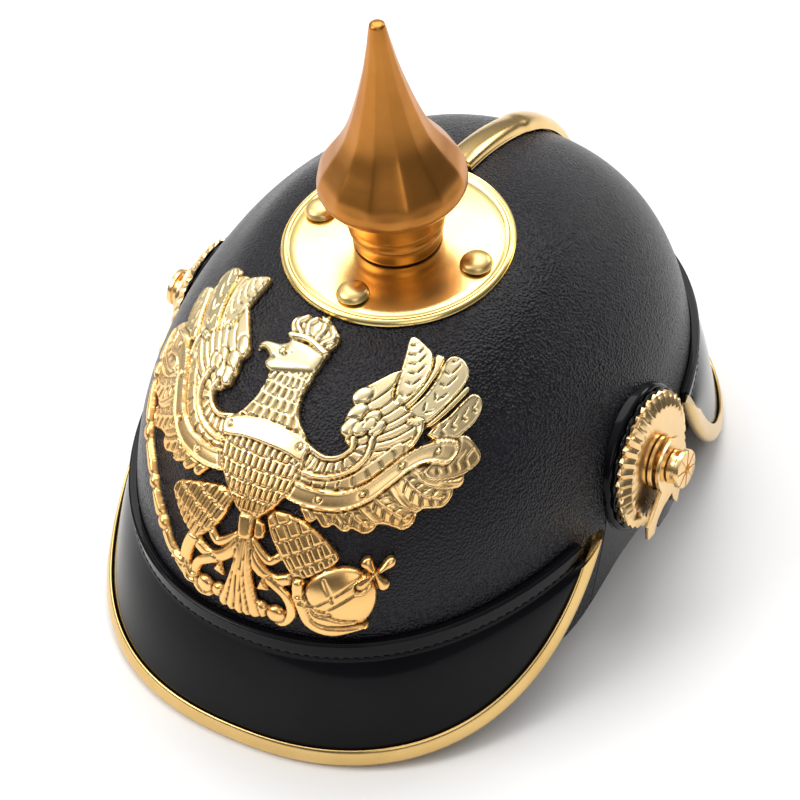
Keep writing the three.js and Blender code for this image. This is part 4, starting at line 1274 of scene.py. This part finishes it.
def makeSceptre():
    band(sceptre["foot"], width=4.4, low=0.8, high=2.2, edge=2.0)
    for line in sceptre["lengths"]:
        blade(line, width=5.2, low=0.8, high=2.5, edge=2.0, shape=((0, 0.5), (0.35, 0.95), (0.8, 0.72),
                                                                   (1, 0.5)))
    layBalls(sceptre["knobs"])
    for claw in sceptre["claws"]:
        blade(claw, width=3.0, low=1.2, high=2.6, edge=1.5, shape=((0, 1), (0.6, 0.9), (1, 0.4)))


def blurred(field, times):
    for _ in range(times):
        sides = np.roll(field, 1, 0) + np.roll(field, -1, 0) + np.roll(field, 1, 1) + np.roll(field, -1, 1)
        field = (sides + 4 * field) / 8
    return field


def wrapOnFront(u, v, height):
    # walks up the front middle line, then round the skull at that height
    drops = np.linspace(0, math.pi / 2, 400)[::-1]
    middle = skullPoint(0.0, drops)
    rise = np.concatenate([[0], np.cumsum(np.linalg.norm(np.diff(middle, axis=0), axis=1))])
    rowDrop = np.interp(gridV + eagle["riseV"], rise, drops)
    turns = np.radians(np.linspace(-eagle["widest"], eagle["widest"], eagle["turns"]))
    rowLine = skullPoint(turns[:, None], rowDrop[None, :])
    steps = np.linalg.norm(np.diff(rowLine, axis=0), axis=2)
    length = np.concatenate([np.zeros((1, len(gridV))), np.cumsum(steps, axis=0)])
    length -= length[eagle["turns"] // 2]  # measured from the middle
    angle = np.stack([np.interp(gridU + eagle["centreU"], length[:, j], turns) for j in range(len(gridV))], 1)
    rows, columns = (u - gridU[0]) / eagle["step"], (v - gridV[0]) / eagle["step"]
    i = np.clip(rows.astype(int), 0, len(gridU) - 2)
    j = np.clip(columns.astype(int), 0, len(gridV) - 2)
    a, b = rows - i, columns - j
    lower = angle[i, j] * (1 - a) + angle[i + 1, j] * a
    upper = angle[i, j + 1] * (1 - a) + angle[i + 1, j + 1] * a
    drop = rowDrop[j] * (1 - b) + rowDrop[j + 1] * b
    return skullOut(lower * (1 - b) + upper * b, drop, eagle["clearance"] + height)


def cutOut(piece, outside):
    # deletes the marked corners of a grid
    editing(piece, lambda: bpy.ops.mesh.select_all(action="DESELECT"))
    piece.data.vertices.foreach_set("select", outside)
    piece.data.update()
    bpy.ops.object.mode_set(mode="EDIT")
    bpy.ops.mesh.delete(type="VERT")
    bpy.ops.object.mode_set(mode="OBJECT")


def makeEaglePlate():
    height, outline = cast["height"], cast["outline"]
    # painted shade and grime for the recesses: how far each point lies below its blurred surroundings
    hollowGrimeAndShade = np.clip((blurred(np.where(outline < 0.5, height, 0.6), 12) - height) * 2.4, 0, 1)
    height = height * (1 - 0.75 * blendStep(outline, -0.7, 0.3))  # thins towards the pierced edges
    # corners beside an edge slide onto it, so that the cut is smooth
    slopeU, slopeV = np.gradient(outline, eagle["step"])
    pull = np.where(outline > -0.15, outline, 0) / np.maximum(np.hypot(slopeU, slopeV), 0.6) ** 2
    pull = np.clip(pull, -0.5, 0.5)
    edgeU, edgeV = flatU - slopeU * pull, flatV - slopeV * pull
    rows, columns = len(gridU) - 1, len(gridV) - 1
    piece = gridPiece("eaglePlate", rows, columns)
    cutOut(piece, outline[gridPlaces(piece, rows, columns)] > eagle["cutAt"])
    editing(piece, lambda: bpy.ops.mesh.extrude_region_move(TRANSFORM_OT_translate={"value": (0, 0, 1)}))
    top = readPoints(piece)[:, 2] > 0.5
    place = gridPlaces(piece, rows, columns)
    writePoints(piece, onStand(wrapOnFront(edgeU[place], edgeV[place], np.where(top, height[place], 0.0))))
    shade = piece.data.attributes.new("hollowGrimeAndShade", "FLOAT", "POINT")
    # the relief's sides and underside get a fixed 0.8 of this darkening, as painted shade under its edges
    shade.data.foreach_set("value", np.where(top, hollowGrimeAndShade[place], 0.8))
    tidyNormals(piece)
    dressed(piece, eagleGilt, ["eagle_plate"], angle=70)
    print("eagle faces", len(piece.data.polygons))


print("eagle plate")
makeWing(1)
makeWing(-1)
makeTail()
makeBody()
makeHead()
makeScroll()
makeOrb()
makeSceptre()
makeEaglePlate()


def makeFloor():
    bpy.ops.object.select_all(action="DESELECT")
    bpy.ops.mesh.primitive_plane_add(size=7, location=(0, 0, 0))
    floor = named("floor")
    paper = Finish("palePaper", Roughness=0.6)
    floor.data.materials.append(paper.wire(
        Base_Color=paper.tint(paper.noise(3.0, 3.0), rgb(0.86, 0.86, 0.865), rgb(0.9, 0.9, 0.9)),
        Normal=paper.bump(paper.noise(300.0, 3.0), 0.0001, 0.2)))


# Area lights, placed in metres and aimed at the helmet's middle.
lights = [
    {"name": "topBox", "from": (-0.35, 0.55, 1.5), "size": (1.3, 1.3), "power": 17,
     "colour": (1.0, 0.985, 0.96)},
    {"name": "frontBox", "from": (-1.05, -0.85, 1.25), "size": (0.9, 0.9), "power": 13,
     "colour": (1.0, 0.97, 0.92)},
    {"name": "fillBox", "from": (1.0, -1.05, 0.9), "size": (0.9, 0.9), "power": 3.5,
     "colour": (1.0, 0.97, 0.92)},
    {"name": "backBox", "from": (0.55, 1.6, 0.85), "size": (0.8, 0.5), "power": 7,
     "colour": (1.0, 0.99, 0.97)},
]
# A soft room, bright overhead and dim near the horizon.
room = {"low": 0.1, "high": 0.95, "from": 0.1, "to": 0.95, "lean": (-0.3, 0.16, 0.86)}


def makeLights():
    for light in lights:
        lamp = bpy.data.lights.new(light["name"], "AREA")
        lamp.shape, (lamp.size, lamp.size_y) = "RECTANGLE", light["size"]
        lamp.energy, lamp.color = light["power"], light["colour"]
        holder = bpy.data.objects.new(light["name"], lamp)
        holder.location = light["from"]
        holder.rotation_euler = (Vector((0, 0, 0.08)) - holder.location).to_track_quat("-Z", "Y").to_euler()
        scene.collection.objects.link(holder)


def makeRoom():
    sky = bpy.data.worlds.new("softRoom")
    sky.use_nodes = True
    nodes, links = sky.node_tree.nodes, sky.node_tree.links
    aim = nodes.new("ShaderNodeTexCoord")
    lift = nodes.new("ShaderNodeVectorMath")
    lift.operation = "DOT_PRODUCT"
    lift.inputs[1].default_value = room["lean"]
    glow = nodes.new("ShaderNodeMapRange")
    glow.interpolation_type = "SMOOTHSTEP"
    for socket, key in enumerate(("from", "to", "low", "high"), 1):
        glow.inputs[socket].default_value = room[key]
    links.new(aim.outputs["Generated"], lift.inputs[0])
    links.new(lift.outputs["Value"], glow.inputs[0])
    links.new(glow.outputs[0], nodes["Background"].inputs["Strength"])
    nodes["Background"].inputs["Color"].default_value = rgb(0.97, 0.98, 1.0)
    scene.world = sky
    scene.view_settings.view_transform = "Standard"


# The camera's angles are in degrees, its distances in millimetres, and focal is for a picture 800 wide.
viewpoint = {
    "azimuth": 34.02, "elevation": 46.24, "roll": -5.94,
    "distance": 1019.85, "aside": 0.59, "lift": -54.18, "focal": 3015.2, "sensor": 36,
}


def makeCamera():
    az, el, roll = (math.radians(viewpoint[key]) for key in ("azimuth", "elevation", "roll"))
    back = Vector((math.sin(az) * math.cos(el), -math.cos(az) * math.cos(el), math.sin(el)))
    level = Vector((math.cos(az), math.sin(az), 0))
    upright = back.cross(level)
    right = level * math.cos(roll) + upright * math.sin(roll)
    up = upright * math.cos(roll) - level * math.sin(roll)
    eye = back * viewpoint["distance"] + right * viewpoint["aside"] + up * viewpoint["lift"]
    lean = Matrix(leanTurn.tolist())
    turn = Matrix((lean @ right, lean @ up, lean @ back)).transposed()
    data = bpy.data.cameras.new("viewer")
    data.sensor_width = viewpoint["sensor"]
    data.lens = viewpoint["sensor"] * viewpoint["focal"] / 800
    camera = bpy.data.objects.new("viewer", data)
    camera.matrix_world = Matrix.Translation(Vector(onStand([eye])[0])) @ turn.to_4x4()
    scene.collection.objects.link(camera)
    scene.camera = camera


print("stage")
makeFloor()
makeLights()
makeRoom()
makeCamera()
